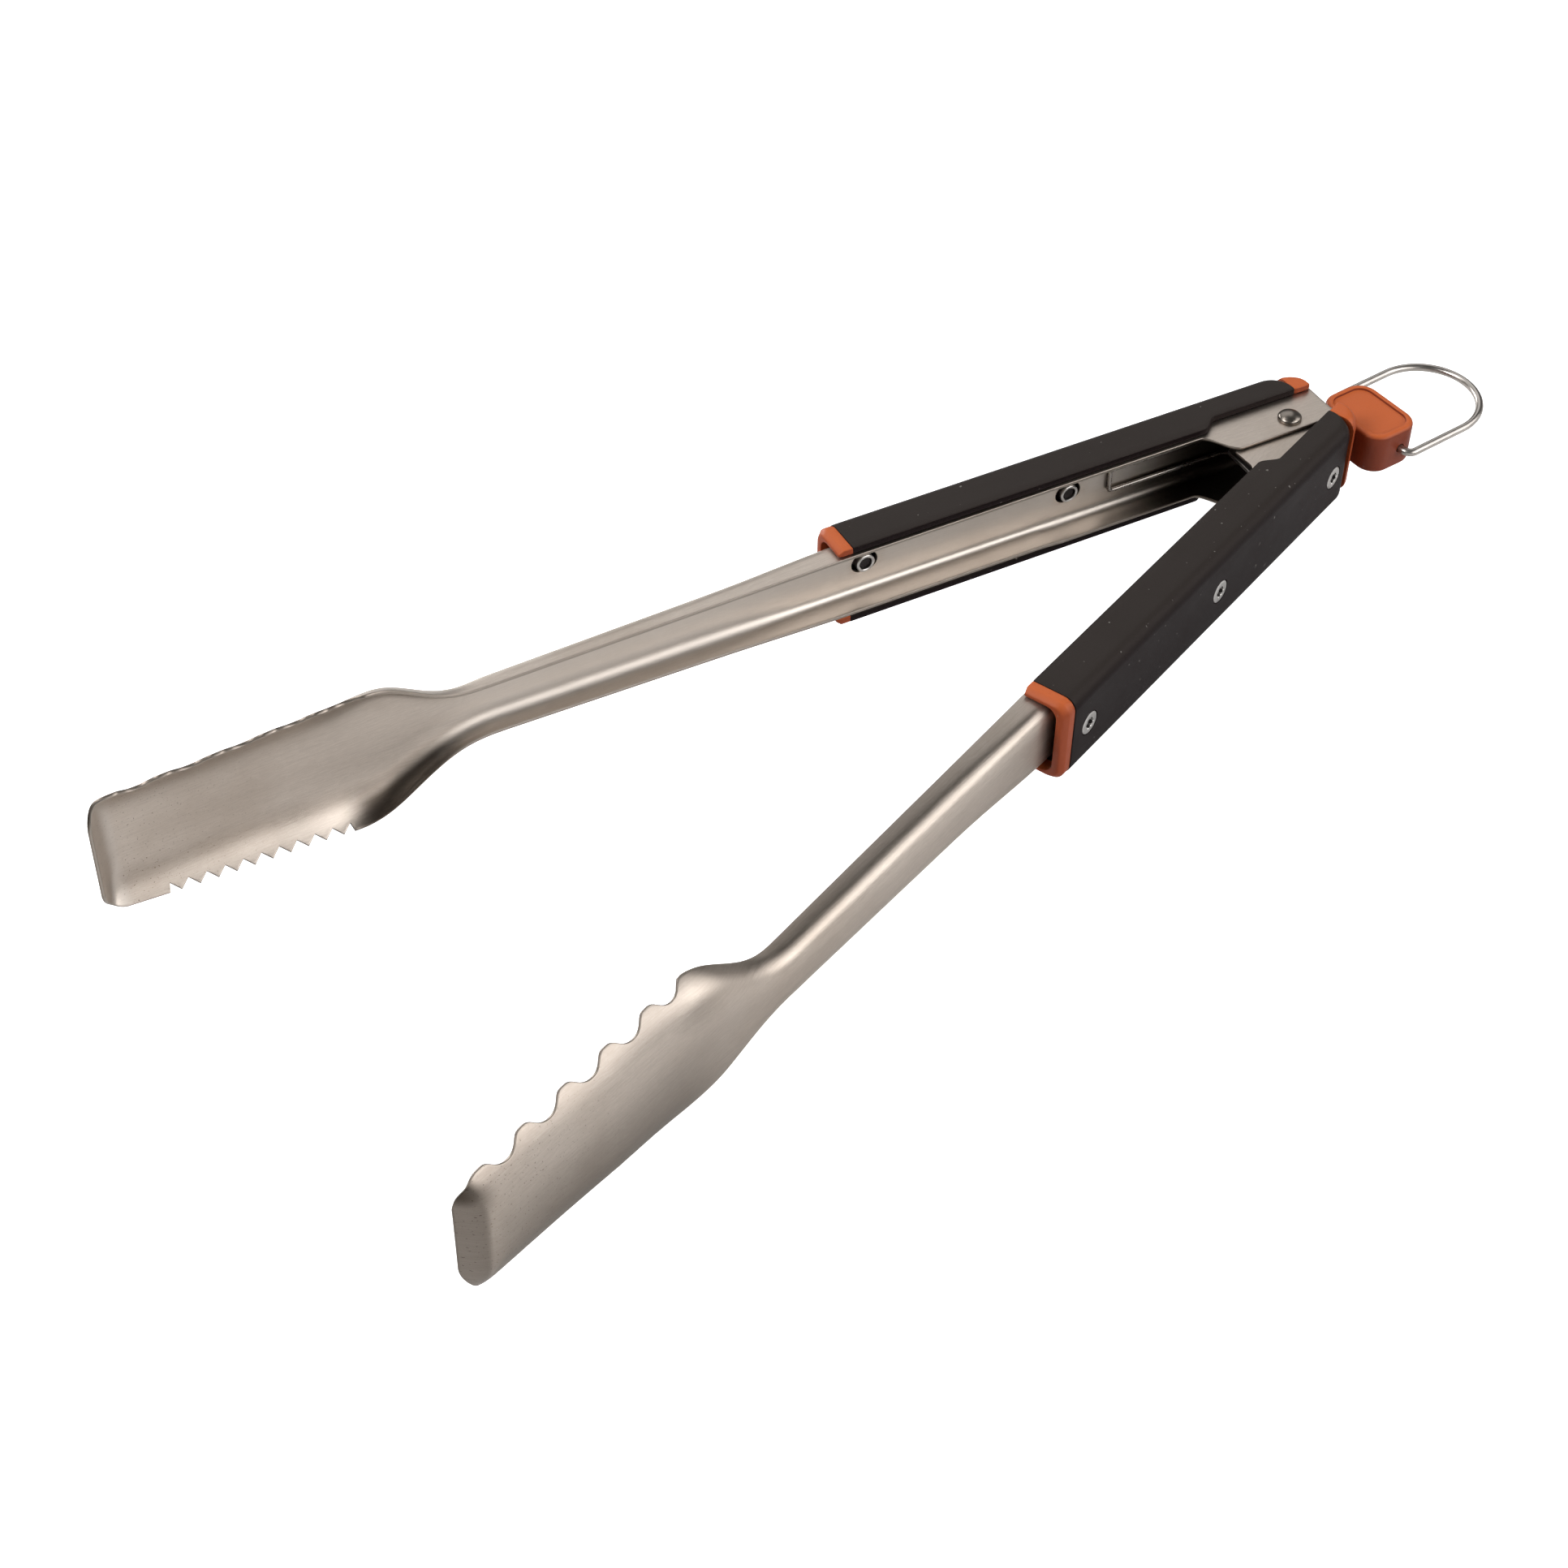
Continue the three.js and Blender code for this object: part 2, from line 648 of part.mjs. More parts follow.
// Two coils on the rivet axis joined by a bridge on the far arm, with a free leg to the near arm each.
function torsionSpring() {
  const rest = WEB_DEPTH - SHEET - GAP - SPRING_WIRE_RADIUS;
  const steps = 12 * (COIL_TURNS + 1);
  const inner = COIL_INNER_HEIGHT;
  const outer = inner + COIL_TURNS * 2 * SPRING_WIRE_RADIUS + 1;
  const nearEnd = armPoint(SPRING_LEG - SPRING_LEG_DIFFERENCE, rest, outer, -1);
  const firstAngle = legAngle(nearEnd, -1);
  const knee = armPoint(SPRING_KNEE, rest, inner, 1);
  const lastAngle = legAngle(knee, 1);
  const turn = 2 * Math.PI;
  const sweep = ((firstAngle - lastAngle) % turn) - turn * COIL_TURNS;
  const coil = Array.from({ length: steps + 1 }, (_, i) => {
    const angle = firstAngle - (sweep * i) / steps;
    const z = THREE.MathUtils.lerp(outer, inner, i / steps);
    return new THREE.Vector3(COIL_RADIUS * Math.cos(angle), COIL_RADIUS * Math.sin(angle), z);
  });
  const bridge = [
    armPoint(SPRING_LEG - 2.5, rest, inner, 1),
    armPoint(SPRING_LEG - 0.7, rest, inner - 0.7, 1),
    armPoint(SPRING_LEG, rest, inner - 2.5, 1),
  ];
  const upper = [nearEnd, ...coil, knee, ...bridge];
  const lower = upper.map((p) => new THREE.Vector3(p.x, p.y, -p.z)).reverse();
  return piece("torsion_spring", wire([...upper, ...lower], SPRING_WIRE_RADIUS, 6), springSteel);
}

// ---- lock and hanging loop ----------------------------------------------------------------------

// A flat plate on the rivet, with a slot as long as the lock's travel and a wide head in front.
function lockPlate() {
  const half = LOCK_PLATE_THICKNESS / 2;
  const depth = (y) => y - PIVOT_DEPTH;
  const width = LOCK_PLATE_HALF_WIDTH;
  const head = LOCK_HEAD_HALF_WIDTH;
  const cornerAt = LOCK_HEAD_END - LOCK_HEAD_CORNER;
  const outline = [
    [LOCK_PLATE_REAR, depth(-width)],
    [LOCK_HEAD_START, depth(-width)],
    [LOCK_HEAD_START, depth(-head)],
    ...arc([cornerAt, depth(LOCK_HEAD_CORNER - head)], LOCK_HEAD_CORNER, -90, 0, 3),
    ...arc([cornerAt, depth(head - LOCK_HEAD_CORNER)], LOCK_HEAD_CORNER, 0, 90, 3),
    [LOCK_HEAD_START, depth(head)],
    [LOCK_HEAD_START, depth(width)],
    [LOCK_PLATE_REAR, depth(width)],
  ];
  const radius = RIVET_RADIUS + GAP;
  const slot = [
    ...arc([LOCK_TRAVEL, depth(0)], radius, -90, 90, 6),
    ...arc([0, depth(0)], radius, 90, 270, 6),
  ];
  const plate = cut(sidePlate(outline, -half, half), sidePlate(slot, -5, 5));
  return piece("lock_plate", plate, springSteel);
}

function roundedRectangle(width, height, radius) {
  const [x, y] = [width / 2 - radius, height / 2 - radius];
  return [
    ...arc([x, y], radius, 0, 90, 4),
    ...arc([-x, y], radius, 90, 180, 4),
    ...arc([-x, -y], radius, 180, 270, 4),
    ...arc([x, -y], radius, 270, 360, 4),
  ];
}

function slab(outline, zLow, zHigh) {
  const shape = new THREE.Shape(outline.map(([x, y]) => new THREE.Vector2(x, y)));
  const depth = zHigh - zLow;
  return new THREE.ExtrudeGeometry(shape, { depth, bevelEnabled: false }).translate(0, 0, zLow);
}

// The pull tab, drawn about its own centre: a rounded block with a shallow panel in both faces.
function lockTab() {
  const half = TAB_SIZE.z / 2;
  const round = (inset, zLow, zHigh) =>
    slab(
      roundedRectangle(TAB_SIZE.x - 2 * inset, TAB_SIZE.y - 2 * inset, TAB_CORNER_RADIUS - inset),
      zLow,
      zHigh,
    );
  const body = join(round(0, 1.2 - half, half - 1.2), round(0.8, -half, half));
  const panelFloor = half - TAB_PANEL_DEPTH;
  const panels = [
    round(TAB_PANEL_MARGIN, panelFloor, half + 1),
    round(TAB_PANEL_MARGIN, -half - 1, -panelFloor),
  ];
  const pocketWidth = 2 * (LOCK_PLATE_HALF_WIDTH + GAP);
  const pocketHeight = LOCK_PLATE_THICKNESS + 2 * GAP;
  const pocket = new THREE.BoxGeometry(2 * TAB_POCKET_DEPTH, pocketWidth, pocketHeight)
    .rotateZ(-HALF_OPEN_ANGLE - TAB_YAW)
    .translate(-TAB_SIZE.x / 2, plateOffset(), 0);
  const holeRadius = LOOP_WIRE_RADIUS + GAP;
  const holes = [-1, 1].map((side) =>
    new THREE.CylinderGeometry(holeRadius, holeRadius, 10, 12).translate(
      LOOP_SET_BACK,
      (side * TAB_SIZE.y) / 2,
      0,
    ),
  );
  const tab = piece("lock_tab", cut(body, ...panels, pocket, ...holes), orangePlastic);
  tab.position.set(TAB_CENTRE.x, TAB_CENTRE.y, 0);
  tab.rotation.z = TAB_YAW;
  return tab;
}

// Where the lock plate's centre line meets the tab's front face, across the tab.
function plateOffset() {
  const front = new THREE.Vector2(-TAB_SIZE.x / 2, 0)
    .rotateAround(new THREE.Vector2(), TAB_YAW)
    .add(TAB_CENTRE);
  const along = new THREE.Vector2(Math.cos(HALF_OPEN_ANGLE), -Math.sin(HALF_OPEN_ANGLE));
  const across = new THREE.Vector2(-Math.sin(TAB_YAW), Math.cos(TAB_YAW));
  const normal = new THREE.Vector2(Math.cos(TAB_YAW), Math.sin(TAB_YAW));
  const hit = along.clone().multiplyScalar(front.dot(normal) / along.dot(normal));
  return hit.sub(front).dot(across);
}

// A wire bow whose ends turn into the tab's side holes.
function hangingLoop() {
  const end = TAB_SIZE.y / 2 - LOOP_END_DEPTH;
  const bend = LOOP_BEND_RADIUS;
  const straight = LOOP_LENGTH - LOOP_HALF_WIDTH;
  const half = [
    [0, end],
    ...arc([bend, LOOP_HALF_WIDTH - bend], bend, 180, 90, 5),
    ...arc([straight, 0], LOOP_HALF_WIDTH, 90, 0, 10),
  ];
  const other = half.slice(0, -1).map(([x, y]) => [x, -y]).reverse();
  const points = [...half, ...other].map(([x, y]) => new THREE.Vector3(x, y, 0));
  const loop = piece("hanging_loop", wire(points, LOOP_WIRE_RADIUS, 8), brushedSteel);
  loop.rotation.y = -LOOP_PITCH;
  loop.position.x = LOOP_SET_BACK;
  const hinge = new THREE.Group();
  hinge.add(loop);
  hinge.position.set(TAB_CENTRE.x, TAB_CENTRE.y, 0);
  hinge.rotation.z = TAB_YAW;
  return hinge;
}

// ---- assembly -----------------------------------------------------------------------------------

function armGroup(side, nested) {
  const group = new THREE.Group();
  group.add(
    steelArm(side + "_arm", nested),
    cover(side + "_cover"),
    frontTrim(side + "_front_trim"),
    rearTrim(side + "_rear_trim"),
  );
  for (const [place, station] of Object.entries(SCREW_STATIONS)) {
    group.add(
      coverScrew(side + "_" + place + "_screw", station),
      sleeve(side + "_" + place + "_sleeve", station),
    );
  }
  return group;
}

const farArm = armGroup("far", false);
farArm.rotation.z = -HALF_OPEN_ANGLE;

const nearArm = armGroup("near", true);
nearArm.scale.y = -1;
nearArm.rotation.z = HALF_OPEN_ANGLE;

const lock = new THREE.Group();
lock.add(lockPlate());
lock.rotation.z = -HALF_OPEN_ANGLE;

const tongs = new THREE.Group();
tongs.add(
  farArm,
  nearArm,
  lock,
  pivotRivet(),
  bush("upper_bush", LOCK_PLATE_THICKNESS / 2 + GAP, NESTED_HALF_WIDTH - SHEET - GAP),
  bush("lower_bush", SHEET + GAP - NESTED_HALF_WIDTH, -LOCK_PLATE_THICKNESS / 2 - GAP),
  torsionSpring(),
  lockTab(),
  hangingLoop(),
);

// The origin is below the middle of the object, on the plane that it lies on.
tongs.updateMatrixWorld(true);
const bounds = new THREE.Box3().setFromObject(tongs, true);
const middle = bounds.getCenter(new THREE.Vector3());
tongs.position.set(-middle.x, -middle.y, -bounds.min.z);

export default tongs;
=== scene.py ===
"""Spring loaded kitchen tongs: the look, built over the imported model's bodies.

Shapes are drawn in millimetres in a local frame of an arm (x back from the rivet, y outward from
the rivet axis, z the width) and placed in the row frame in metres.
"""

import math

import bmesh
import bpy
import numpy as np
from mathutils import Matrix, Vector


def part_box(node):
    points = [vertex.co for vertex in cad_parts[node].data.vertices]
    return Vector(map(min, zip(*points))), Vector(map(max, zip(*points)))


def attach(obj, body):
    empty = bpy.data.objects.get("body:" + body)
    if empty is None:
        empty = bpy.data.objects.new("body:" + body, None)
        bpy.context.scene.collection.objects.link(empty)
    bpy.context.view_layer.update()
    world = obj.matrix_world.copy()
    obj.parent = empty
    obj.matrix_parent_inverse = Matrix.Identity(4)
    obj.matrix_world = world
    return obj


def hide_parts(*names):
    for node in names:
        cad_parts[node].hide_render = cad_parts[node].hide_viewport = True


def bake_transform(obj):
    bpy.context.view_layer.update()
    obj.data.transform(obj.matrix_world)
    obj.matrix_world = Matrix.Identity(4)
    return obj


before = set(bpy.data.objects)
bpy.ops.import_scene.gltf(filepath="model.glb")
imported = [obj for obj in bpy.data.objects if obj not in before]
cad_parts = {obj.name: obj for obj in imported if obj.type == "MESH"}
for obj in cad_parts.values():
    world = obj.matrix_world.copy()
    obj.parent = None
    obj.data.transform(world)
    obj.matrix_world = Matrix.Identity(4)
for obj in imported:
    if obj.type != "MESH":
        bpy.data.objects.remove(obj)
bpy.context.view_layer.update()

# ---- dimensions, in millimetres -----------------------------------------------------------------

HALF_OPEN = math.radians(12.41)
PIVOT_DEPTH = 6.2
ARM_LENGTH = 431.7
SHEET = 1.2
RIM = 0.28  # rounding of the sheet's edges

CHANNEL_HALF_WIDTH = 13.0
WEB_DEPTH = 9.1
EAR_REAR = 16.5
EAR_DEPTH = -12.2

TIP_CORNER = 8.0
LIP_START = 420.2
LOBE_ROUNDING = 1.7
TOOTH_PITCH, TOOTH_DEPTH, TOOTH_COUNT, FIRST_TOOTH = 5.93, 3.0, 10, 353.6
SCALLOP_PITCH, SCALLOP_DEPTH, SCALLOP_COUNT = 16.75, 4.0, 4
LOBE_WIDTH, LAST_LOBE, ROOT_LOBE, SCALLOP_EXTRA = 4.8, 420.4, 342.4, 1.0

COVER_FRONT, COVER_REAR = 170.0, -9.0
COVER_DEPTH, COVER_EDGE, COVER_EAR_EDGE = 15.5, -0.8, 3.8
COVER_HALF_WIDTH, COVER_CORNER = 16.0, 4.6
ROOM_DEPTH, ROOM_HALF_WIDTH, ROOM_CORNER = 12.5, 13.3, 4.0
TRIM_LENGTH = 5.0
STATIONS = {"front": 160.2, "middle": 80.3, "rear": 4.2}
HEAD_RADIUS = 4.15
SLOT_LENGTH, SLOT_RADIUS = 2.4, 3.8  # the slots in the webs for the screws' sleeves

RIVET_RADIUS, RIVET_HOLE = 2.5, 2.8
BUSH_RADIUS, BUSH_END = 5.2, 9.9
COIL_RADIUS, SPRING_WIRE, SPRING_LEG, SPRING_NEAR_LEG = 6.4, 0.8, 64.0, 50.0
SPRING_KNEE = 14.0  # where the legs on the far arm leave its web
PLATE_THICKNESS, PLATE_HALF_WIDTH, LOCK_TRAVEL = 1.5, 4, 9
TAB_WIDTH, TAB_LENGTH, TAB_HEIGHT, TAB_CORNER = 30.0, 21.4, 15.4, 7.0
TAB_CENTRE = (30.8, -10.7)
TAB_YAW = math.radians(-6)
LOOP_WIRE, LOOP_HALF_WIDTH, LOOP_LENGTH, LOOP_SET_BACK = 1.4, 19.4, 45.0, 2.0
LOOP_PITCH = math.radians(1.5)
LOOP_HOLE = 1.75

LIGHT_DISTANCE = 1.9  # in metres

# ---- places -------------------------------------------------------------------------------------

rivet_low, rivet_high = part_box("pivot_rivet")
PIVOT = (rivet_low + rivet_high) / 2
AT_PIVOT = Matrix.Translation(PIVOT) @ Matrix.Scale(0.001, 4)
PLACES = {
    "rivet": AT_PIVOT,
    "far": AT_PIVOT @ Matrix.Rotation(-HALF_OPEN, 4, "Z"),
    "near": AT_PIVOT @ Matrix.Rotation(HALF_OPEN, 4, "Z") @ Matrix.Diagonal((1, -1, 1, 1)),
    "tab": AT_PIVOT
    @ Matrix.Translation((*TAB_CENTRE, 0))
    @ Matrix.Rotation(TAB_YAW, 4, "Z"),
}
BODIES = {"far": "far_side", "near": "near_side"}

# ---- materials ----------------------------------------------------------------------------------


def add(tree, kind, inputs=None, **settings):
    """A node with its settings; an input is a number, a colour or another node's output."""
    node = tree.nodes.new(kind)
    for key, value in settings.items():
        setattr(node, key, value)
    for key, value in (inputs or {}).items():
        if isinstance(value, bpy.types.NodeSocket):
            tree.links.new(value, node.inputs[key])
        else:
            node.inputs[key].default_value = value
    return node


def new_material(name, **constants):
    """(material, its node tree, its Principled node) with constant sockets set."""
    material = bpy.data.materials.new(name)
    material.use_nodes = True
    tree = material.node_tree
    shader = tree.nodes["Principled BSDF"]
    for key, value in constants.items():
        shader.inputs[key.replace("_", " ")].default_value = value
    return material, tree, shader


def noise(tree, vector, scale, detail=4.0, roughness=0.6):
    return add(
        tree,
        "ShaderNodeTexNoise",
        {"Vector": vector, "Scale": scale, "Detail": detail, "Roughness": roughness},
    ).outputs["Fac"]


def spread(tree, value, low, high, from_low=0.3, from_high=0.7):
    """value, mapped from its usual range to low..high."""
    return add(
        tree,
        "ShaderNodeMapRange",
        {"Value": value, "From Min": from_low, "From Max": from_high, "To Min": low, "To Max": high},
    ).outputs["Result"]


def mix(tree, factor, first, second, blend="MIX"):
    node = add(tree, "ShaderNodeMix", data_type="RGBA", blend_type=blend)
    for socket, value in zip((node.inputs[0], node.inputs[6], node.inputs[7]), (factor, first, second)):
        if isinstance(value, bpy.types.NodeSocket):
            tree.links.new(value, socket)
        else:
            socket.default_value = value
    return node.outputs[2]


def bump(tree, shader, height, strength, distance):
    node = add(
        tree,
        "ShaderNodeBump",
        {"Height": height, "Strength": strength, "Distance": distance},
    )
    tree.links.new(node.outputs["Normal"], shader.inputs["Normal"])


def stretched(tree, vector, scale, turn=0.0):
    return add(
        tree,
        "ShaderNodeMapping",
        {"Vector": vector, "Scale": scale, "Rotation": (0, 0, turn)},
    ).outputs["Vector"]


def brushed_steel():
    """Warm stainless sheet with fine lines along the arm, faint stains and pits, a painted paler inner
    face, and painted shade on its rolled edges, in its channel and bends, and over reflections that came
    out too bright.
    """
    material, tree, shader = new_material("brushed_stainless", Metallic=1.0, Anisotropic=0.35)
    grain = add(tree, "ShaderNodeUVMap", uv_map="grain").outputs["UV"]
    place = add(tree, "ShaderNodeTexCoord").outputs["Object"]
    lines = noise(tree, stretched(tree, grain, (0.07, 1.9, 1), math.radians(1.2)), 1.0, 6, 0.8)
    cross = noise(tree, stretched(tree, grain, (0.3, 2.0, 1), math.radians(24)), 1.0, 4, 0.75)
    broad = noise(tree, stretched(tree, grain, (0.02, 0.5, 1)), 1.0, 3)
    stains = noise(tree, place, 24.0, 4, 0.55)
    pits = noise(tree, grain, 1.35, 2, 0.5)
    tone = mix(tree, spread(tree, lines, 0, 1), (0.445, 0.385, 0.335, 1), (0.600, 0.530, 0.468, 1))
    tone = mix(tree, spread(tree, cross, 0, 0.75, 0.48, 0.72), tone, (0.65, 0.58, 0.515, 1))
    tone = mix(tree, spread(tree, broad, 0.0, 0.35), tone, (0.60, 0.53, 0.465, 1))
    tone = mix(tree, spread(tree, stains, 0.35, 0, 0.34, 0.52), tone, (0.40, 0.33, 0.27, 1))
    station = add(tree, "ShaderNodeSeparateXYZ", {"Vector": grain}).outputs["X"]
    pitted = spread(tree, station, 0.1, 0.9, 365, 430)
    wear_and_painted_shade = mix(tree, spread(tree, pits, 0, 1, 0.65, 0.70), tone, (0.15, 0.12, 0.10, 1))
    tone = mix(tree, pitted, tone, wear_and_painted_shade)
    # inner: the inner face is painted paler, a painted sheen where it should catch more light
    inner = add(tree, "ShaderNodeAttribute", attribute_name="inner").outputs["Fac"]
    tone = mix(tree, spread(tree, inner, 0, 0.55, 0, 1), tone, (0.62, 0.575, 0.53, 1))
    # rim: the rolled edges are painted darker, painted shade that tones down their glint
    rim = add(tree, "ShaderNodeAttribute", attribute_name="rim").outputs["Fac"]
    tone = mix(tree, spread(tree, rim, 0, 0.7, 0, 1), tone, (0.28, 0.24, 0.205, 1))
    # painted_shade: painted shade from the sheet's points, in the channel, bends and lip and over too
    # bright reflections
    painted_shade = add(tree, "ShaderNodeAttribute", attribute_name="painted_shade").outputs["Fac"]
    tone = mix(tree, spread(tree, painted_shade, 0, 0.95, 0, 1), tone, (0.041, 0.029, 0.020, 1))
    tree.links.new(tone, shader.inputs["Base Color"])
    tree.links.new(spread(tree, lines, 0.35, 0.46), shader.inputs["Roughness"])
    bump(tree, shader, lines, 0.35, 0.0001)
    tangent = add(tree, "ShaderNodeTangent", direction_type="UV_MAP", uv_map="grain")
    tree.links.new(tangent.outputs["Tangent"], shader.inputs["Tangent"])
    return material


def moulded_plastic(name, colour, wear_and_painted_shade, top, roughness, dust, gloss=0.3):
    """Satin moulded plastic with a fine texture, uneven gloss, a little dust, and a painted highlight that
    lightens faces turned up.
    """
    tint = (1, 0.82, 0.80, 1)
    material, tree, shader = new_material(name, Specular_IOR_Level=gloss, Specular_Tint=tint)
    at = add(tree, "ShaderNodeTexCoord")
    place = at.outputs["Object"]
    fine = noise(tree, place, 1900.0, 3, 0.6)
    patch = noise(tree, place, 38.0, 4, 0.6)
    specks = noise(tree, place, 620.0, 1, 0.4)
    painted_top_light = add(tree, "ShaderNodeSeparateXYZ", {"Vector": at.outputs["Normal"]}).outputs["Z"]
    tone = mix(tree, spread(tree, patch, 0.0, 0.7), (*colour, 1), (*wear_and_painted_shade, 1))
    # faces turned up take the top colour: a painted highlight
    tone = mix(tree, spread(tree, painted_top_light, 0, 1, 0.3, 0.95), tone, (*top, 1))
    tone = mix(tree, spread(tree, specks, 0, dust, 0.76, 0.80), tone, (0.42, 0.40, 0.37, 1))
    tree.links.new(tone, shader.inputs["Base Color"])
    tree.links.new(spread(tree, patch, roughness - 0.05, roughness + 0.06), shader.inputs["Roughness"])
    bump(tree, shader, fine, 0.16, 0.00025)
    return material


def bare_metal(name, dark, light, rough_low, rough_high, scale):
    """Plated or drawn metal with a soft mottle in its colour and gloss."""
    material, tree, shader = new_material(name, Metallic=1.0)
    place = add(tree, "ShaderNodeTexCoord").outputs["Object"]
    mottle = noise(tree, place, scale, 4, 0.6)
    fine = noise(tree, place, scale * 9, 2, 0.5)
    tone = mix(tree, spread(tree, mottle, 0, 1), (*dark, 1), (*light, 1))
    tree.links.new(tone, shader.inputs["Base Color"])
    tree.links.new(spread(tree, mottle, rough_low, rough_high), shader.inputs["Roughness"])
    bump(tree, shader, fine, 0.03, 0.0001)
    return material


STEEL = brushed_steel()
# black plastic; its third colour is a painted highlight on faces turned up
BLACK = moulded_plastic(
    "black_satin_plastic",
    (0.0078, 0.0048, 0.0049),
    (0.0112, 0.0072, 0.0073),
    (0.030, 0.0250, 0.0225),
    roughness=0.40,
    dust=0.3,
    gloss=0.075,
)
# the orange's lighter colour for faces turned up: a painted highlight
ORANGE_PAINTED_TOP_LIGHT = (0.505, 0.110, 0.0295)
ORANGE = moulded_plastic(
    "orange_moulded_plastic", (0.27, 0.046, 0.0115), (0.32, 0.060, 0.016), ORANGE_PAINTED_TOP_LIGHT, 0.45, 0.12
)
# a darker copy of the orange plastic for the tab: painted shade on its sides
PAINTED_SHADE_TAB_ORANGE = moulded_plastic(
    "orange_tab_plastic_painted_shade", (0.17, 0.027, 0.0085), (0.20, 0.036, 0.011), ORANGE_PAINTED_TOP_LIGHT, 0.45, 0.12
)
ZINC = bare_metal("zinc_plated_screw", (0.46, 0.44, 0.42), (0.60, 0.58, 0.56), 0.26, 0.36, 420)
POLISHED = bare_metal("polished_rivet", (0.20, 0.175, 0.15), (0.30, 0.265, 0.235), 0.24, 0.34, 300)
SPRING = bare_metal("spring_wire", (0.28, 0.25, 0.225), (0.40, 0.365, 0.33), 0.22, 0.34, 300)
PLATE = bare_metal("plain_plate", (0.42, 0.39, 0.36), (0.55, 0.51, 0.48), 0.30, 0.42, 160)
WIRE = bare_metal("polished_wire", (0.43, 0.395, 0.365), (0.52, 0.485, 0.45), 0.26, 0.34, 240)
# its third colour is a painted highlight on faces turned up
NYLON = moulded_plastic(
    "black_nylon", (0.03, 0.03, 0.03), (0.045, 0.044, 0.043), (0.05, 0.048, 0.046), 0.5, 0.1
)
# a near-black stand-in for the screws' sockets and shank ends: painted shadow
PAINTED_SOCKET_SHADOW = moulded_plastic(
    "socket_shadow", (0.012, 0.011, 0.011), (0.018, 0.017, 0.017), (0.015, 0.014, 0.014), 0.6, 0.0
)

# ---- mesh helpers -------------------------------------------------------------------------------


def mesh_object(name, points, faces, place, material, smooth=35, uv=None, marks=None):
    """An object whose mesh is given in a place's millimetres and held in the row frame's metres."""
    matrix = PLACES[place]
    if matrix.determinant() < 0:
        faces = [face[::-1] for face in faces]
    mesh = bpy.data.meshes.new(name)
    mesh.from_pydata([matrix @ Vector(p) for p in points], [], faces)
    if uv is not None:
        layer = mesh.uv_layers.new(name="grain")
        layer.data.foreach_set("uv", np.array([uv[loop.vertex_index] for loop in mesh.loops]).ravel())
    for key, values in (marks or {}).items():
        mesh.attributes.new(key, "FLOAT", "POINT").data.foreach_set("value", values)
    mesh.materials.append(material)
    obj = bpy.data.objects.new(name, mesh)
    bpy.context.scene.collection.objects.link(obj)
    smooth_by_angle(obj, smooth)
    return obj


def smooth_by_angle(obj, degrees):
    obj.data.shade_smooth()
    obj.data.set_sharp_from_angle(angle=math.radians(degrees))


def applied(obj):
    """Puts the result of an object's modifiers into its mesh."""
    depsgraph = bpy.context.evaluated_depsgraph_get()
    mesh = bpy.data.meshes.new_from_object(obj.evaluated_get(depsgraph))
    obj.modifiers.clear()
    obj.data = mesh
    return obj


def subtract(obj, cutters, smooth=35):
    """Takes the cutters away from an object and removes them."""
    for cutter in cutters:
        modifier = obj.modifiers.new("cut", "BOOLEAN")
        modifier.operation = "DIFFERENCE"
        modifier.solver = "EXACT"
        modifier.object = cutter
        applied(obj)
        bpy.data.objects.remove(cutter)
    smooth_by_angle(obj, smooth)
    return obj


def loops_mesh(loops, closed_ends=True):
    """(points, faces) of closed loops of equal length, joined one to the next."""
    count = len(loops[0])
    points = [point for loop in loops for point in loop]
    faces = []
    for row in range(len(loops) - 1):
        for i in range(count):
            j = (i + 1) % count
            a, b = row * count, (row + 1) * count
            faces.append((a + i, a + j, b + j, b + i))
    if closed_ends:
        faces.append(tuple(reversed(range(count))))
        last = (len(loops) - 1) * count
        faces.append(tuple(range(last, last + count)))
    return points, faces


def outward(obj):
    """Turns every face outward."""
    work = bmesh.new()
    work.from_mesh(obj.data)
    bmesh.ops.recalc_face_normals(work, faces=work.faces)
    work.to_mesh(obj.data)
    work.free()
    return obj


def turned(name, profile, station, place, material, axis="out", segments=56, smooth=40, lobes=None):
    """A lathed piece from [radius, height] points, on an arm's outward axis or on the rivet axis.

    lobes gives the rows of the profile whose radius swells and shrinks round the axis.
    """
    rows = []
    for index, (radius, height) in enumerate(profile):
        row = []
        for k in range(segments):
            angle = 2 * math.pi * k / segments
            r = max(radius, 0.001)
            if lobes and index in lobes:
                r *= 1 + 0.16 * math.cos(6 * angle)
            x, z = r * math.cos(angle), r * math.sin(angle)
            if axis == "out":
                row.append((x - station, height + PIVOT_DEPTH, z))
            else:
                row.append((x, z, height))
        rows.append(row)
    closed = profile[0] != profile[-1]
    points, faces = loops_mesh(rows, closed_ends=closed)
    obj = mesh_object(name, points, faces, place, material, smooth)
    if not closed:
        work = bmesh.new()
        work.from_mesh(obj.data)
        bmesh.ops.remove_doubles(work, verts=work.verts, dist=1e-7)
        work.to_mesh(obj.data)
        work.free()
    outward(obj)
    smooth_by_angle(obj, smooth)
    return obj


def tube(inner, outer, low, high, fillet=0.15):
    """Profile points of a tube with rounded outer edges, closed on itself."""
    return [
        (inner, low),
        (outer - fillet, low),
        (outer, low + fillet),
        (outer, high - fillet),
        (outer - fillet, high),
        (inner, high),
        (inner, low),
    ]


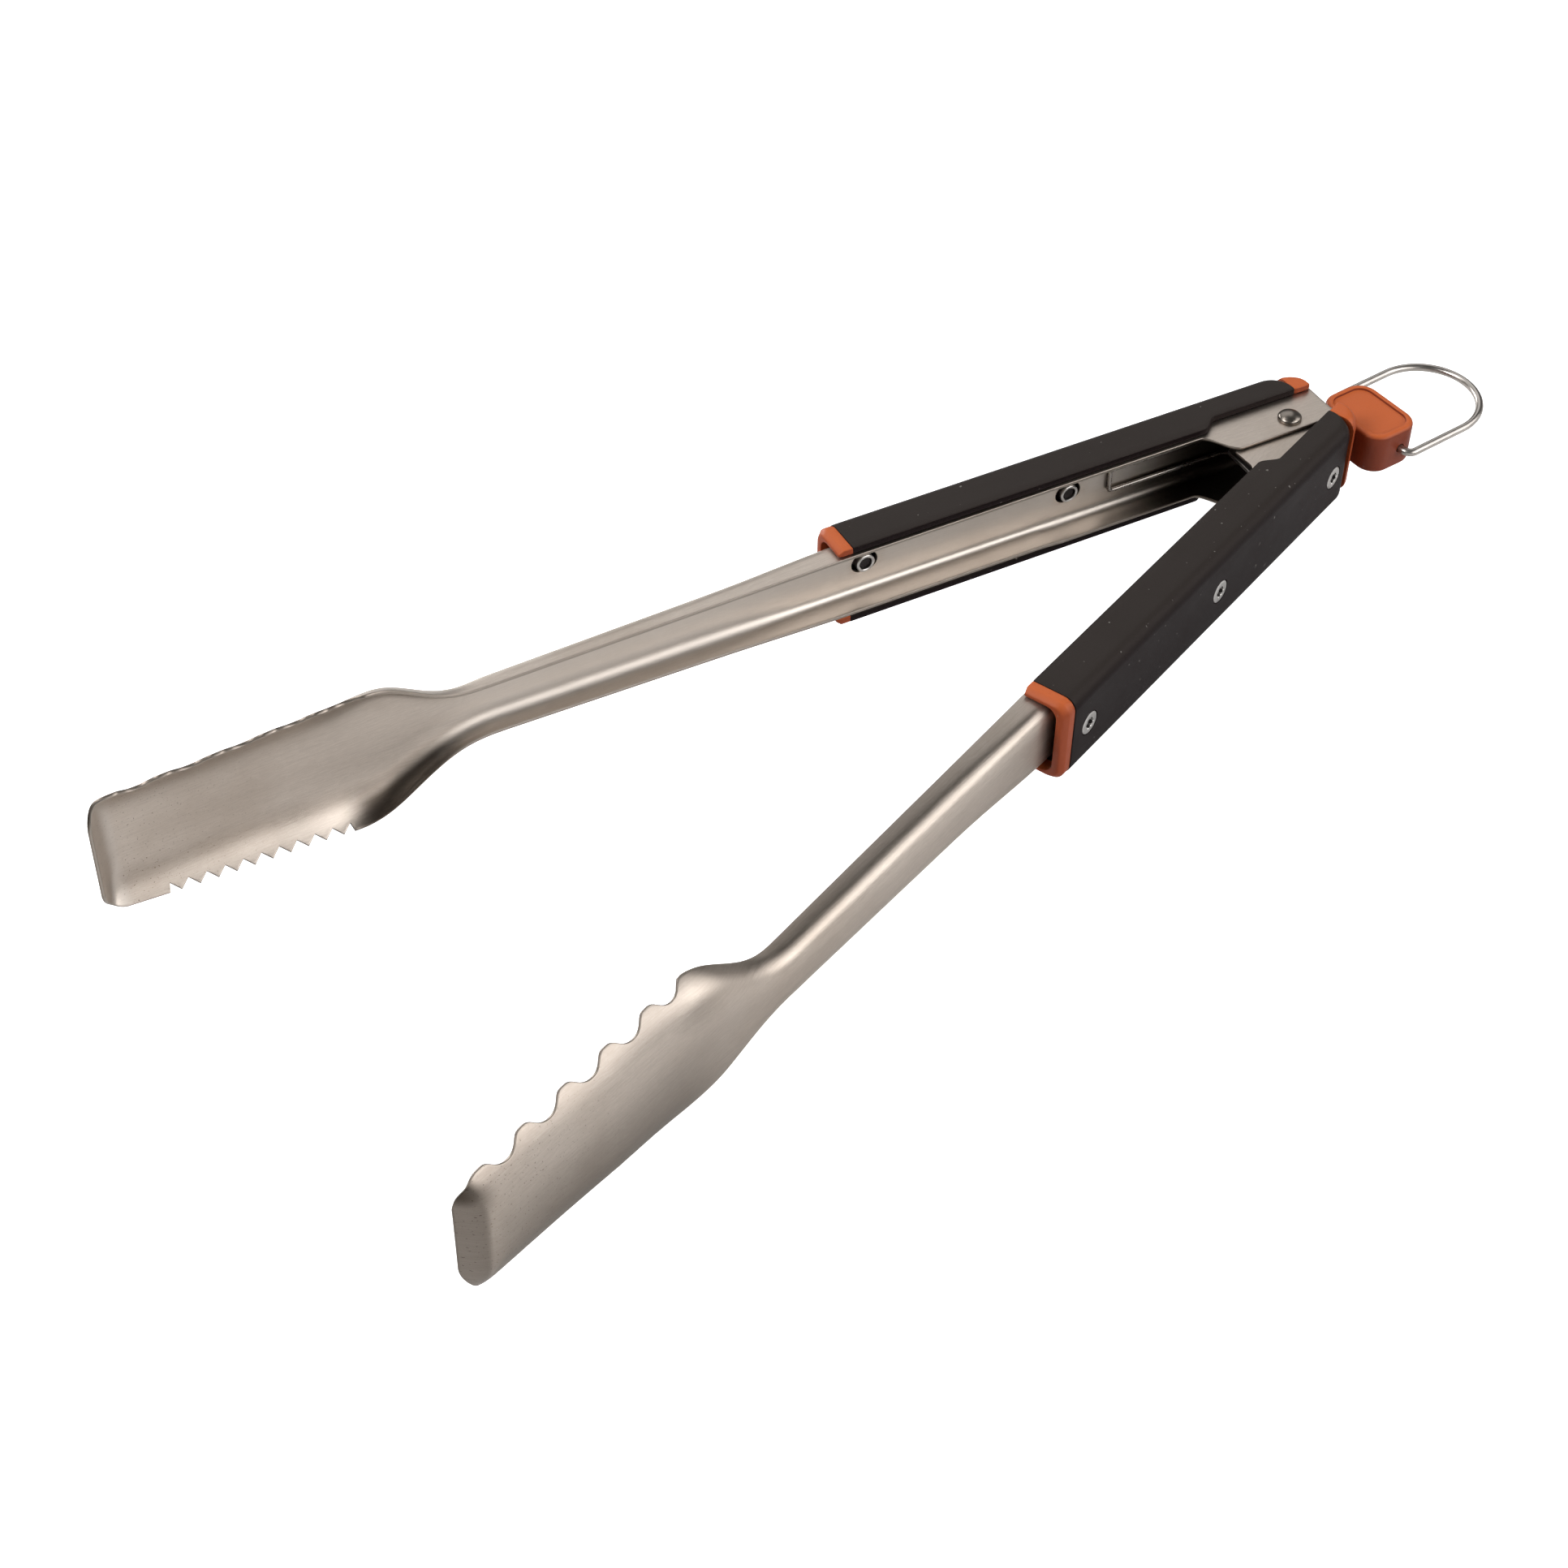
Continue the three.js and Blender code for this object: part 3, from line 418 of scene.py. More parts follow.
def wire(name, points, radius, place, material, sides=10):
    """A round wire through points, with filled ends."""
    curve = bpy.data.curves.new(name, "CURVE")
    curve.dimensions = "3D"
    curve.bevel_depth = radius * 0.001
    curve.bevel_resolution = sides // 2
    curve.use_fill_caps = True
    spline = curve.splines.new("POLY")
    spline.points.add(len(points) - 1)
    for slot, point in zip(spline.points, points):
        slot.co = (*(PLACES[place] @ Vector(point)), 1)
    source = bpy.data.objects.new(name + "_path", curve)
    bpy.context.scene.collection.objects.link(source)
    depsgraph = bpy.context.evaluated_depsgraph_get()
    mesh = bpy.data.meshes.new_from_object(source.evaluated_get(depsgraph))
    bpy.data.objects.remove(source)
    mesh.materials.clear()
    mesh.materials.append(material)
    obj = bpy.data.objects.new(name, mesh)
    bpy.context.scene.collection.objects.link(obj)
    smooth_by_angle(obj, 60)
    return obj


def install(obj, node, body):
    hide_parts(node)
    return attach(obj, body)


def arc(centre, radius, start, end, steps):
    return [
        (
            centre[0] + radius * math.cos(math.radians(start + (end - start) * i / steps)),
            centre[1] + radius * math.sin(math.radians(start + (end - start) * i / steps)),
        )
        for i in range(steps + 1)
    ]


# ---- the pressed steel arms ---------------------------------------------------------------------


def keyed(keys, ease):
    """A function of the station that passes through the keys, with ease shaping each stretch."""

    def value(s):
        if s <= keys[0][0]:
            return keys[0][1]
        for (s0, v0), (s1, v1) in zip(keys, keys[1:]):
            if s < s1:
                return v0 + (v1 - v0) * ease((s - s0) / (s1 - s0))
        return keys[-1][1]

    return value


def linear(t):
    return t


def smooth_step(t):
    return t * t * (3 - 2 * t)


def smoother_step(s, low, high):
    t = min(max((s - low) / (high - low), 0), 1)
    return t * t * t * (t * (6 * t - 15) + 10)


web_depth = keyed(
    [(175, WEB_DEPTH), (300, 7), (335, 4.9), (352, 3.9), (375, 3.2), (400, 1.4), (ARM_LENGTH, -0.6)],
    linear,
)
bend_radius = keyed([(298, 4), (330, 8.5), (364, 19)], smooth_step)
wall_angle = keyed([(308, 90), (334, 78), (364, 50)], smooth_step)
neck_half_width = keyed([(175, CHANNEL_HALF_WIDTH), (300, 11.2)], linear)
blade_half_width = keyed([(346, 26.2), (ARM_LENGTH, 22.4)], linear)
wall_edge = keyed([(46, -1.6), (175, -1.6), (306, -1.8), (346, -5), (400, -6.6)], smooth_step)
far_ear_edge = keyed(
    [(-EAR_REAR, EAR_DEPTH + 1.6), (2 - EAR_REAR, EAR_DEPTH), (24, EAR_DEPTH), (33.5, -1.6)],
    smooth_step,
)
near_ear_edge = keyed(
    [(-EAR_REAR, EAR_DEPTH + 1.6), (2 - EAR_REAR, EAR_DEPTH), (25.8, EAR_DEPTH), (29, -4), (32, -1.6)],
    linear,
)
nesting = keyed([(34, 1.6), (45, 0)], smooth_step)


def softness(s, side):
    """How far the bend of a wall reaches into the flats beside it."""
    covered = 1.4 * smoother_step(s, 60, 120)
    return 0.4 + covered + (3.2 if side < 0 else 2.0) * smoother_step(s, 168, 225)


def section(s, side, nested):
    """(angle, radius, web, wall, flat, bend) of the sheet on one side at a station."""
    angle, radius, web = math.radians(wall_angle(s)), bend_radius(s), web_depth(s)
    blade = smoother_step(s, 302, 347) if side > 0 else smoother_step(s, 294, 356)
    extra = SCALLOP_EXTRA if side > 0 else 0
    neck = neck_half_width(s) - (nesting(s) if nested else 0)
    spare = (0.3 if side < 0 else 0.22) * softness(s, side) * (1 - blade)
    half_width = neck - spare + (blade_half_width(s) + extra - neck + spare) * blade
    ear = near_ear_edge if nested else far_ear_edge
    edge = (ear(s) if s < 46 else wall_edge(s)) + 0.5 * extra * blade + spare
    wall = (web - edge - radius * (1 - math.cos(angle))) / math.sin(angle)
    flat = half_width - radius * math.sin(angle) - wall * math.cos(angle)
    return angle, radius, web, wall, flat, radius * angle


# The tip turns in over a soft bend.
LIP_ANGLE, LIP_SOFTNESS = math.radians(60), 12.0
lip_u = np.linspace(0, 24, 600)
lip_t = np.clip(lip_u / LIP_SOFTNESS, 0, 1)
lip_slope = LIP_ANGLE * lip_t * lip_t * (3 - 2 * lip_t)
LIP_RUN = np.cumsum(np.cos(lip_slope)) * lip_u[1]
LIP_DROP = np.cumsum(np.sin(lip_slope)) * lip_u[1]


def lip_drop(s):
    return float(np.interp(s - LIP_START, LIP_RUN, LIP_DROP, left=0))


def curled(over, flat, bend, angle, soft):
    """(width, drop) of the section at distances over it, with the bend easing in and out."""
    u = np.linspace(0, flat + bend + 26, 320)
    t = np.clip((u - flat + soft) / (bend + 2 * soft), 0, 1)
    slope = angle * t * t * (3 - 2 * t) if soft > 1 else angle * t
    step = u[1] - u[0]
    width = np.concatenate([[0], np.cumsum((np.cos(slope[1:]) + np.cos(slope[:-1])) * step / 2)])
    drop = np.concatenate([[0], np.cumsum((np.sin(slope[1:]) + np.sin(slope[:-1])) * step / 2)])
    return np.interp(over, u, width), np.interp(over, u, drop)


def face_points(s, reach, nested):
    """Points of the outer face at a station, for an array of signed reaches from the centre line."""
    out = np.empty((len(reach), 3))
    for side in (-1, 1):
        chosen = reach < 0 if side < 0 else reach >= 0
        angle, _, web, _, flat, bend = section(s, side, nested)
        soft = softness(s, side)
        soft += (0.8 * flat - soft) * smoother_step(s, 312, 372)
        z, drop = curled(np.abs(reach[chosen]), flat, bend, angle, soft)
        out[chosen, 0] = -s
        out[chosen, 1] = web - np.hypot(drop, lip_drop(s)) + PIVOT_DEPTH
        out[chosen, 2] = side * z
    return out


def inward_normals(s, reach, nested, step=0.2):
    along = face_points(s + step, reach, nested) - face_points(s - step, reach, nested)
    base = np.where(np.abs(reach) < step, np.where(reach < 0, -step, step), reach)
    across = face_points(s, base + step, nested) - face_points(s, base - step, nested)
    normal = np.cross(across, along)
    return normal / np.linalg.norm(normal, axis=1)[:, None]


def tooth_cut(s):
    phase = (s - FIRST_TOOTH) / TOOTH_PITCH
    if phase < -0.51 or phase > TOOTH_COUNT - 0.49:
        return 0
    return TOOTH_DEPTH * 2 * abs(phase - round(phase))


def sharp_scallop_cut(s):
    for i in range(SCALLOP_COUNT + 1):
        high = LAST_LOBE - i * SCALLOP_PITCH
        low = high - SCALLOP_PITCH + LOBE_WIDTH if i < SCALLOP_COUNT else ROOT_LOBE
        if low < s < high:
            offset = abs(2 * s - high - low) / (high - low)
            return SCALLOP_DEPTH * (1 - offset**2.4)
    return 0


def scallop_cut(s):
    """The scallops' depth with the lobes between them rounded over."""
    return sum(sharp_scallop_cut(s + LOBE_ROUNDING * k / 4) * (5 - abs(k)) for k in range(-4, 5)) / 25


def edge_reach(s, side, nested):
    angle, radius, _, wall, flat, bend = section(s, side, nested)
    full = flat + bend + wall - (scallop_cut(s) if side > 0 else tooth_cut(s))
    past = s - (ARM_LENGTH - TIP_CORNER)
    if past <= 0:
        return full
    drop = TIP_CORNER - math.sqrt(max(TIP_CORNER**2 - past * past, 0))
    return max(full - drop / math.cos(angle), flat + radius * 0.2)


def arm_stations():
    """(station, squeeze) pairs; squeeze draws the section in to round the two ends."""
    turns = [math.radians(a) for a in (90, 60, 30)]
    ends = [(RIM - RIM * math.sin(a), RIM - RIM * math.cos(a)) for a in turns]
    stations = [(back - EAR_REAR, squeeze) for back, squeeze in ends]
    stations += [(s, 0) for s in np.arange(RIM - EAR_REAR, 50, 1.0)]
    stations += [(s, 0) for s in np.arange(55, 300, 8.0)]
    stations += [(s, 0) for s in np.arange(300, FIRST_TOOTH - TOOTH_PITCH, 1.4)]
    fine = TOOTH_PITCH / 8
    start = FIRST_TOOTH - TOOTH_PITCH
    stations += [(start + i * fine, 0) for i in range(int((ARM_LENGTH - 6 - start) / fine) + 1)]
    stations += [(s, 0) for s in np.arange(ARM_LENGTH - 5.6, ARM_LENGTH - 1.2, 0.4)]
    stations += [(ARM_LENGTH - back, 0) for back in (1.0, 0.7, 0.45)]
    stations += [(ARM_LENGTH - back, squeeze) for back, squeeze in reversed(ends)]
    return stations


def side_reaches(s, side, nested, squeeze):
    """Reaches from the centre line to one edge's rounding, and the reach of the edge itself."""
    _, _, _, wall, flat, bend = section(s, side, nested)
    full = flat + bend + wall
    edge = edge_reach(s, side, nested) - squeeze
    natural = full - 4
    limit = min(natural, edge - 1.2)
    reaches = [flat * k / 4 for k in range(1, 5)]
    reaches += [flat + (natural - flat) * k / 16 for k in range(1, 17)]
    reaches = [r * limit / natural for r in reaches]
    reaches += [limit + (edge - RIM - limit) * k / 5 for k in range(1, 6)]
    return reaches, edge


RIM_ANGLES = [math.radians(a) for a in (30, 60, 90)]
RIM_POINTS = 2 * len(RIM_ANGLES)


def between(s, start, full, last, end):
    """1 from full to last, easing up from start and down to end."""
    return smoother_step(s, start, full) * (1 - smoother_step(s, last, end))


def spot(s, reach, at, size):
    """A soft round mark at a station and a reach."""
    return np.exp(-(((s - at[0]) / size[0]) ** 2 + ((reach - at[1]) / size[1]) ** 2) / 2)


def inner_painted_shade(s, reach, nested):
    """How much painted shade the inner face gets, from 0 to 1: near the pivot, in the flange at the root,
    over the lower bend's highlight and on the lower blade.
    """
    *_, flat, bend = section(s, -1, nested)
    past_flat = (-reach - flat) / bend
    pivot = np.full(len(reach), 0.97 * (1 - smoother_step(s, 34, 78)))
    flange = 0.93 * between(s, 303, 322, 340, 356) * np.clip((past_flat - 0.1) / 0.5, 0, 1)
    lower_bend = 0.33 * between(s, 165, 225, 290, 330) * np.clip(1.3 - 1.9 * np.abs(past_flat - 0.3), 0, 1)
    lower_blade = 0.25 * smoother_step(s, 350, 372) * np.clip((-reach - 10) / 8, 0, 1)
    return np.maximum.reduce([pivot, flange, lower_bend, lower_blade])


def outer_painted_shade(s, reach, nested):
    """How much painted shade the outer face gets, from 0 to 1: on the blade, at a spot near the blade's
    root, as a painted dark reflection near the tip, on the lip and on the upper wall; the nested arm, which
    is the near one, gets more of it.
    """
    *_, flat, bend = section(s, 1, nested)
    blade = 0.5 * np.clip(0.6 - reach / 42, 0, 1) * smoother_step(s, 318, 360)
    blade += 0.4 * np.clip((reach - 18.5) / 5, 0, 1) * smoother_step(s, 332, 350)
    painted_crease_shade = 0.3 * spot(s, reach, (343, 21), (7, 6))
    painted_dark_reflection = spot(s, reach, (430.5, 19.5), (4.6, 5.6))
    lip = np.full(len(reach), (0.68 if nested else 0.5) * smoother_step(s, 424, 427.5))
    # painted shade on the near arm's upper wall along the neck
    wear_and_painted_shade = 0.58 * between(s, 110, 260, 300, 335) if nested else 0
    upper_wall = wear_and_painted_shade * np.clip((reach - flat) / bend - 0.3, 0, 1)
    return np.maximum.reduce([blade, painted_crease_shade, painted_dark_reflection, lip, upper_wall])


def sheet_painted_light_and_shade(s, reach, depth, nested):
    """(painted_shade, inner) of a section's points: how much painted shade they get, and how much the inner
    face is painted paler.
    """
    inside = depth > SHEET / 2
    painted_shade = np.where(inside, inner_painted_shade(s, reach, nested), outer_painted_shade(s, reach, nested))
    # the inner face is painted paler along the handle and neck and on the lip: painted light
    painted_light = 1 - smoother_step(s, 290, 330) + 0.8 * smoother_step(s, 421, 425)
    return painted_shade.tolist(), (inside * painted_light).tolist()


def steel_arm(side, nested):
    """The arm's sheet as closed section loops: outer face, rim, inner face, rim."""
    points, uv, rim, painted_shade, inner, rows = [], [], [], [], [], arm_stations()
    for s, squeeze in rows:
        below, low_edge = side_reaches(s, -1, nested, squeeze)
        above, high_edge = side_reaches(s, 1, nested, squeeze)
        skin = [-r for r in reversed(below)] + [0.0] + above
        reach, depth = list(skin), [0.0] * len(skin)
        turns = [(RIM * math.sin(a), RIM - RIM * math.cos(a)) for a in RIM_ANGLES]
        back_turns = [(out, SHEET - deep) for out, deep in reversed(turns)]
        for out, deep in turns + back_turns:
            reach.append(high_edge - RIM + out)
            depth.append(deep)
        reach += skin[::-1]
        depth += [SHEET] * len(skin)
        for out, deep in [(out, SHEET - deep) for out, deep in turns] + list(reversed(turns)):
            reach.append(-(low_edge - RIM + out))
            depth.append(deep)
        reach, depth = np.array(reach), np.array(depth)
        depth = squeeze + depth * (SHEET - 2 * squeeze) / SHEET
        face = face_points(s, reach, nested)
        points.extend((face + inward_normals(s, reach, nested) * depth[:, None]).tolist())
        uv.extend((s, r) for r in reach)
        # painted shade and the inner face's painted light at each point
        dark, painted_light = sheet_painted_light_and_shade(s, reach, depth, nested)
        painted_shade.extend(dark)
        inner.extend(painted_light)
        on_rim = ([0.0] * len(skin) + [1.0] * RIM_POINTS) * 2
        rim.extend([1.0] * len(reach) if squeeze else on_rim)
    count, width = len(points) // len(rows), len(skin)
    faces = []
    for row in range(len(rows) - 1):
        a, b = row * count, (row + 1) * count
        for i in range(count):
            j = (i + 1) % count
            faces.append((a + i, b + i, b + j, a + j))
    back = 2 * width + RIM_POINTS - 1
    for start, flip in ((0, False), ((len(rows) - 1) * count, True)):
        strips = [(i, i + 1, back - i - 1, back - i) for i in range(width - 1)]
        strips.append(tuple(range(width - 1, width + RIM_POINTS + 1)))
        strips.append((*range(back, count), 0))
        for strip in strips:
            strip = [start + i for i in strip]
            faces.append(tuple(reversed(strip)) if flip else tuple(strip))
    # rim, painted_shade and inner carry painted shade and painted light to the steel
    marks = {"rim": rim, "painted_shade": painted_shade, "inner": inner}
    obj = mesh_object(side + "_arm_sheet", points, faces, side, STEEL, 50, uv, marks)
    outward(obj)
    cutters = [slot_cutter(side, station) for station in STATIONS.values()]
    cutters.append(rivet_cutter())
    subtract(obj, cutters, 50)
    return install(obj, side + "_arm", BODIES[side])


def prism(name, outline, low, high, place, material, axis="z"):
    """A straight-sided cutter from an outline, along z or along an arm's outward axis."""
    loops = []
    for level in (low, high):
        if axis == "z":
            loops.append([(x, y, level) for x, y in outline])
        else:
            loops.append([(x, level + PIVOT_DEPTH, z) for x, z in outline])
    points, faces = loops_mesh(loops)
    return outward(mesh_object(name, points, faces, place, material))


def slot_outline(low, high, radius):
    """A slot whose round ends are centred on low and high."""
    return arc((high, 0), radius, -90, 90, 14) + arc((low, 0), radius, 90, 270, 14)


def slot_cutter(side, station):
    low, high = -station - SLOT_LENGTH / 2, -station + SLOT_LENGTH / 2
    return prism("cutter", slot_outline(low, high, SLOT_RADIUS), 3, 13, side, STEEL, "out")


def rivet_cutter():
    return prism("cutter", arc((0, 0), RIVET_HOLE, 0, 352.5, 47), -20, 20, "rivet", STEEL)


# ---- covers and trims ---------------------------------------------------------------------------


WALL_STEPS, TURN_STEPS, TOP_STEPS = 4, 8, 6
SKIN_POINTS = 2 * (WALL_STEPS + 1 + TURN_STEPS) + TOP_STEPS - 1


def wall_and_turn(start, depth, half, corner):
    """Section points up one wall of a channel and round its corner."""
    wall = [(start + (depth - corner - start) * k / WALL_STEPS, half) for k in range(WALL_STEPS + 1)]
    return wall + arc((depth - corner, half - corner), corner, 90, 0, TURN_STEPS)[1:]


def across_top(depth, half, corner):
    return [(depth, (half - corner) * (1 - 2 * k / TOP_STEPS)) for k in range(1, TOP_STEPS)]


def shell_loop(s, outer, inner, edge, fillet):
    """One closed loop of an open channel's section; outer and inner are (depth, half width, corner)."""
    start = edge + fillet
    right, over = wall_and_turn(start, *outer), across_top(*outer)
    left = [(d, -z) for d, z in reversed(right)]
    room_right, room_over = wall_and_turn(start, *inner), across_top(*inner)
    room_left = [(d, -z) for d, z in reversed(room_right)]
    low_right = rounded_foot(outer[1], inner[1], edge, fillet)
    low_left = [(d, -z) for d, z in reversed(low_right)]
    loop = right + over + left + low_left[::-1] + room_left[::-1] + room_over[::-1] + room_right[::-1]
    loop += low_right[::-1]
    return [(-s, d + PIVOT_DEPTH, z) for d, z in loop]


def rounded_foot(half, room_half, edge, fillet):
    """The foot of a wall from its outer side to its inner side, without its two end points."""
    outer = arc((edge + fillet, half - fillet), fillet, 90, 180, 3)[1:]
    inner = arc((edge + fillet, room_half + fillet), fillet, 180, 270, 3)[:-1]
    return outer + inner


def cover_edge(s):
    return keyed([(24.3, COVER_EAR_EDGE), (31.6, COVER_EDGE)], smooth_step)(s)


def cover_top(s):
    """The cover's outer depth, which rounds off behind the rear screw."""
    behind = -2 - s
    if behind <= 0:
        return COVER_DEPTH
    return COVER_DEPTH - 7 + math.sqrt(max(49 - behind * behind, 0))


def end_rows(s_high, s_low, fillet):
    """(station, inset) at both ends of a lofted piece, from its front end to its rear end."""
    angles = [math.radians(a) for a in (0, 22, 45, 67, 90)]
    front = [(s_high - fillet + fillet * math.cos(a), fillet - fillet * math.sin(a)) for a in angles]
    rear = [(s_low + fillet - fillet * math.cos(a), fillet - fillet * math.sin(a)) for a in angles]
    return front, rear[::-1]


def lofted_channel(name, rows, place, material, smooth=40):
    """A channel lofted through loops; its two ends close between the outer and the inner skin."""
    loops = [shell_loop(*row) for row in rows]
    points, faces = loops_mesh(loops, closed_ends=False)
    count = len(loops[0])
    skin, foot = SKIN_POINTS, count // 2 - SKIN_POINTS
    for start in (0, (len(loops) - 1) * count):
        back = 2 * skin + foot - 1
        for i in range(skin - 1):
            faces.append((start + i, start + i + 1, start + back - i - 1, start + back - i))
        faces.append(tuple(start + i for i in range(skin - 1, skin + foot + 1)))
        faces.append((*(start + i for i in range(back, count)), start))
    obj = mesh_object(name, points, faces, place, material, smooth)
    outward(obj)
    smooth_by_angle(obj, smooth)
    return obj


def handle_cover(side):
    front, rear = end_rows(COVER_FRONT - 0.15, COVER_REAR, 0.35)
    middle = [*np.arange(165, 34, -10.0), *np.arange(33, 23, -0.5), *np.arange(22, -2, -4.0)]
    middle += list(np.arange(-2, COVER_REAR + 0.5, -0.5))
    rows = []
    for s, inset in [*front, *((s, 0) for s in middle), *rear]:
        top = cover_top(s)
        room = min(ROOM_DEPTH, top - 1.0)
        outer = (top - inset, COVER_HALF_WIDTH - inset, min(COVER_CORNER, top - 5))
        inner = (room + inset, ROOM_HALF_WIDTH + inset, ROOM_CORNER)
        rows.append((s, outer, inner, cover_edge(s) + inset, 0.5))
    obj = lofted_channel(side + "_cover_shell", rows, side, BLACK)
    cutters = []
    for station in STATIONS.values():
        hole = arc((-station, 0), HEAD_RADIUS + 0.25, 0, 352.5, 47)
        cutters.append(prism("cutter", hole, COVER_DEPTH - 1.6, COVER_DEPTH + 3, side, BLACK, "out"))
    subtract(obj, cutters, 40)
    return install(obj, side + "_cover", BODIES[side])


def front_trim(side):
    """A collar with a broad chamfer round its front face; its back touches the cover."""
    back, length = COVER_FRONT - 0.2, TRIM_LENGTH + 0.2
    back_edge = [(0, 0.45), (0.12, 0.15), (0.4, 0.0)]
    chamfer = [(3.0, 0.0), (3.35, 0.08), (4.55, 1.1), (4.88, 1.4), (TRIM_LENGTH, 1.8)]
    rows = []
    for run, inset in back_edge + chamfer:
        outer = (COVER_DEPTH - 0.15 - inset, COVER_HALF_WIDTH - 0.15 - inset, COVER_CORNER - 0.4 * inset)
        grow = 0.3 if run == TRIM_LENGTH else 0
        inner = (11.6 + grow, ROOM_HALF_WIDTH + grow, ROOM_CORNER)
        edge = COVER_EDGE + 0.25 * inset
        rows.append((back + run * length / TRIM_LENGTH, outer, inner, edge, 0.45))
    obj = lofted_channel(side + "_front_collar", rows, side, ORANGE, 32)
    return install(obj, side + "_front_trim", BODIES[side])


def rear_trim(side):
    """An end piece that rounds over the back of the handle; its first section touches the cover."""
    rows = []
    start = COVER_REAR - 0.3
    length = 6.9
    for k in range(19):
        run = length * math.sin(math.pi / 2 * k / 18)
        s = start - run if k else COVER_REAR + 0.05
        top = 7.4 + length * math.sqrt(max(1 - ((run + 0.8) / 7.85) ** 2, 0))
        inset = 0.35 * max(0.0, 1 - run / 0.35) + 0.9 * max(0.0, (run - 5.4) / 1.5) ** 2
        outer = (max(top, 9.75), COVER_HALF_WIDTH - 0.25 - inset, min(COVER_CORNER, top - 4.4))
        inner = (9.4, ROOM_HALF_WIDTH, ROOM_CORNER)
        rows.append((s, outer, inner, COVER_EAR_EDGE + 0.1 + inset, 0.5))
    obj = lofted_channel(side + "_rear_cap", rows, side, ORANGE, 40)
    return install(obj, side + "_rear_trim", BODIES[side])


# ---- screws and sleeves -------------------------------------------------------------------------


def cover_screw(side, place_name, station):
    top = COVER_DEPTH + 0.1
    profile = [
        (0, 7.6),
        (2, 7.6),
        (2, top - 1.2),
        (HEAD_RADIUS - 0.1, top - 1.2),
        (HEAD_RADIUS, top - 1.1),
        (HEAD_RADIUS, top - 0.45),
        (HEAD_RADIUS - 0.12, top - 0.2),
        (HEAD_RADIUS - 0.4, top - 0.05),
        (HEAD_RADIUS - 0.8, top),
        (2.3, top),
        (2.05, top - 0.05),
        (1.85, top - 0.3),
        (1.75, top - 1.0),
        (0, top - 1.15),
    ]
    name = f"{side}_{place_name}_cover_screw"
    obj = turned(name, profile, station, side, ZINC, lobes=(10, 11, 12), segments=60, smooth=30)
    obj.data.materials.append(PAINTED_SOCKET_SHADOW)
    centre = PLACES[side] @ Vector((-station, top + PIVOT_DEPTH, 0))
    # faces in the head's socket and at the shank's end take the painted shadow material
    for face in obj.data.polygons:
        away = (face.center - centre).length * 1000
        in_socket, on_shank = 0.3 < away < 1.95, away > 6.6
        if in_socket or on_shank:
            face.material_index = 1
    return install(obj, f"{side}_{place_name}_screw", BODIES[side])


def cover_sleeve(side, place_name, station):
    face = WEB_DEPTH - SHEET - 0.3
    profile = [
        (2.35, face - 0.75),
        (2.6, face - 0.9),
        (3.1, face - 0.9),
        (3.35, face - 0.75),
        (3.4, face - 0.5),
        (3.4, 12.3),
        (2.35, 12.3),
        (2.35, face - 0.75),
    ]
    name = f"{side}_{place_name}_screw_sleeve"
    obj = turned(name, profile, station, side, ZINC, segments=48, smooth=30)
    return install(obj, f"{side}_{place_name}_sleeve", BODIES[side])


# ---- rivet, bushes, spring ----------------------------------------------------------------------


def pivot_rivet():
    seat, head = CHANNEL_HALF_WIDTH + 0.05, HEAD_RADIUS
    dome = []
    for i in range(9):
        radius = head * (1 - i / 8)
        dome.append((radius, seat + 0.95 + 1.5 * (1 - (radius / head) ** 2) ** 0.8))
    upper = [(RIVET_RADIUS, 0), (RIVET_RADIUS, seat), (head - 0.15, seat)]
    upper += [(head, seat + 0.15), (head, seat + 0.8), *dome[1:]]
    lower = [(r, -z) for r, z in reversed(upper)]
    obj = turned("rivet_heads_and_shank", lower + upper[1:], 0, "rivet", POLISHED, axis="rivet", smooth=48)
    return install(obj, "pivot_rivet", "far_side")


def bush(name, node, low, high):
    obj = turned(name, tube(RIVET_HOLE, BUSH_RADIUS, low, high), 0, "rivet", NYLON, axis="rivet", smooth=30)
    return install(obj, node, "far_side")


def arm_point(along, out, z, side):
    point = Vector((-along, side * (out + PIVOT_DEPTH), z))
    return Matrix.Rotation(-side * HALF_OPEN, 3, "Z") @ point


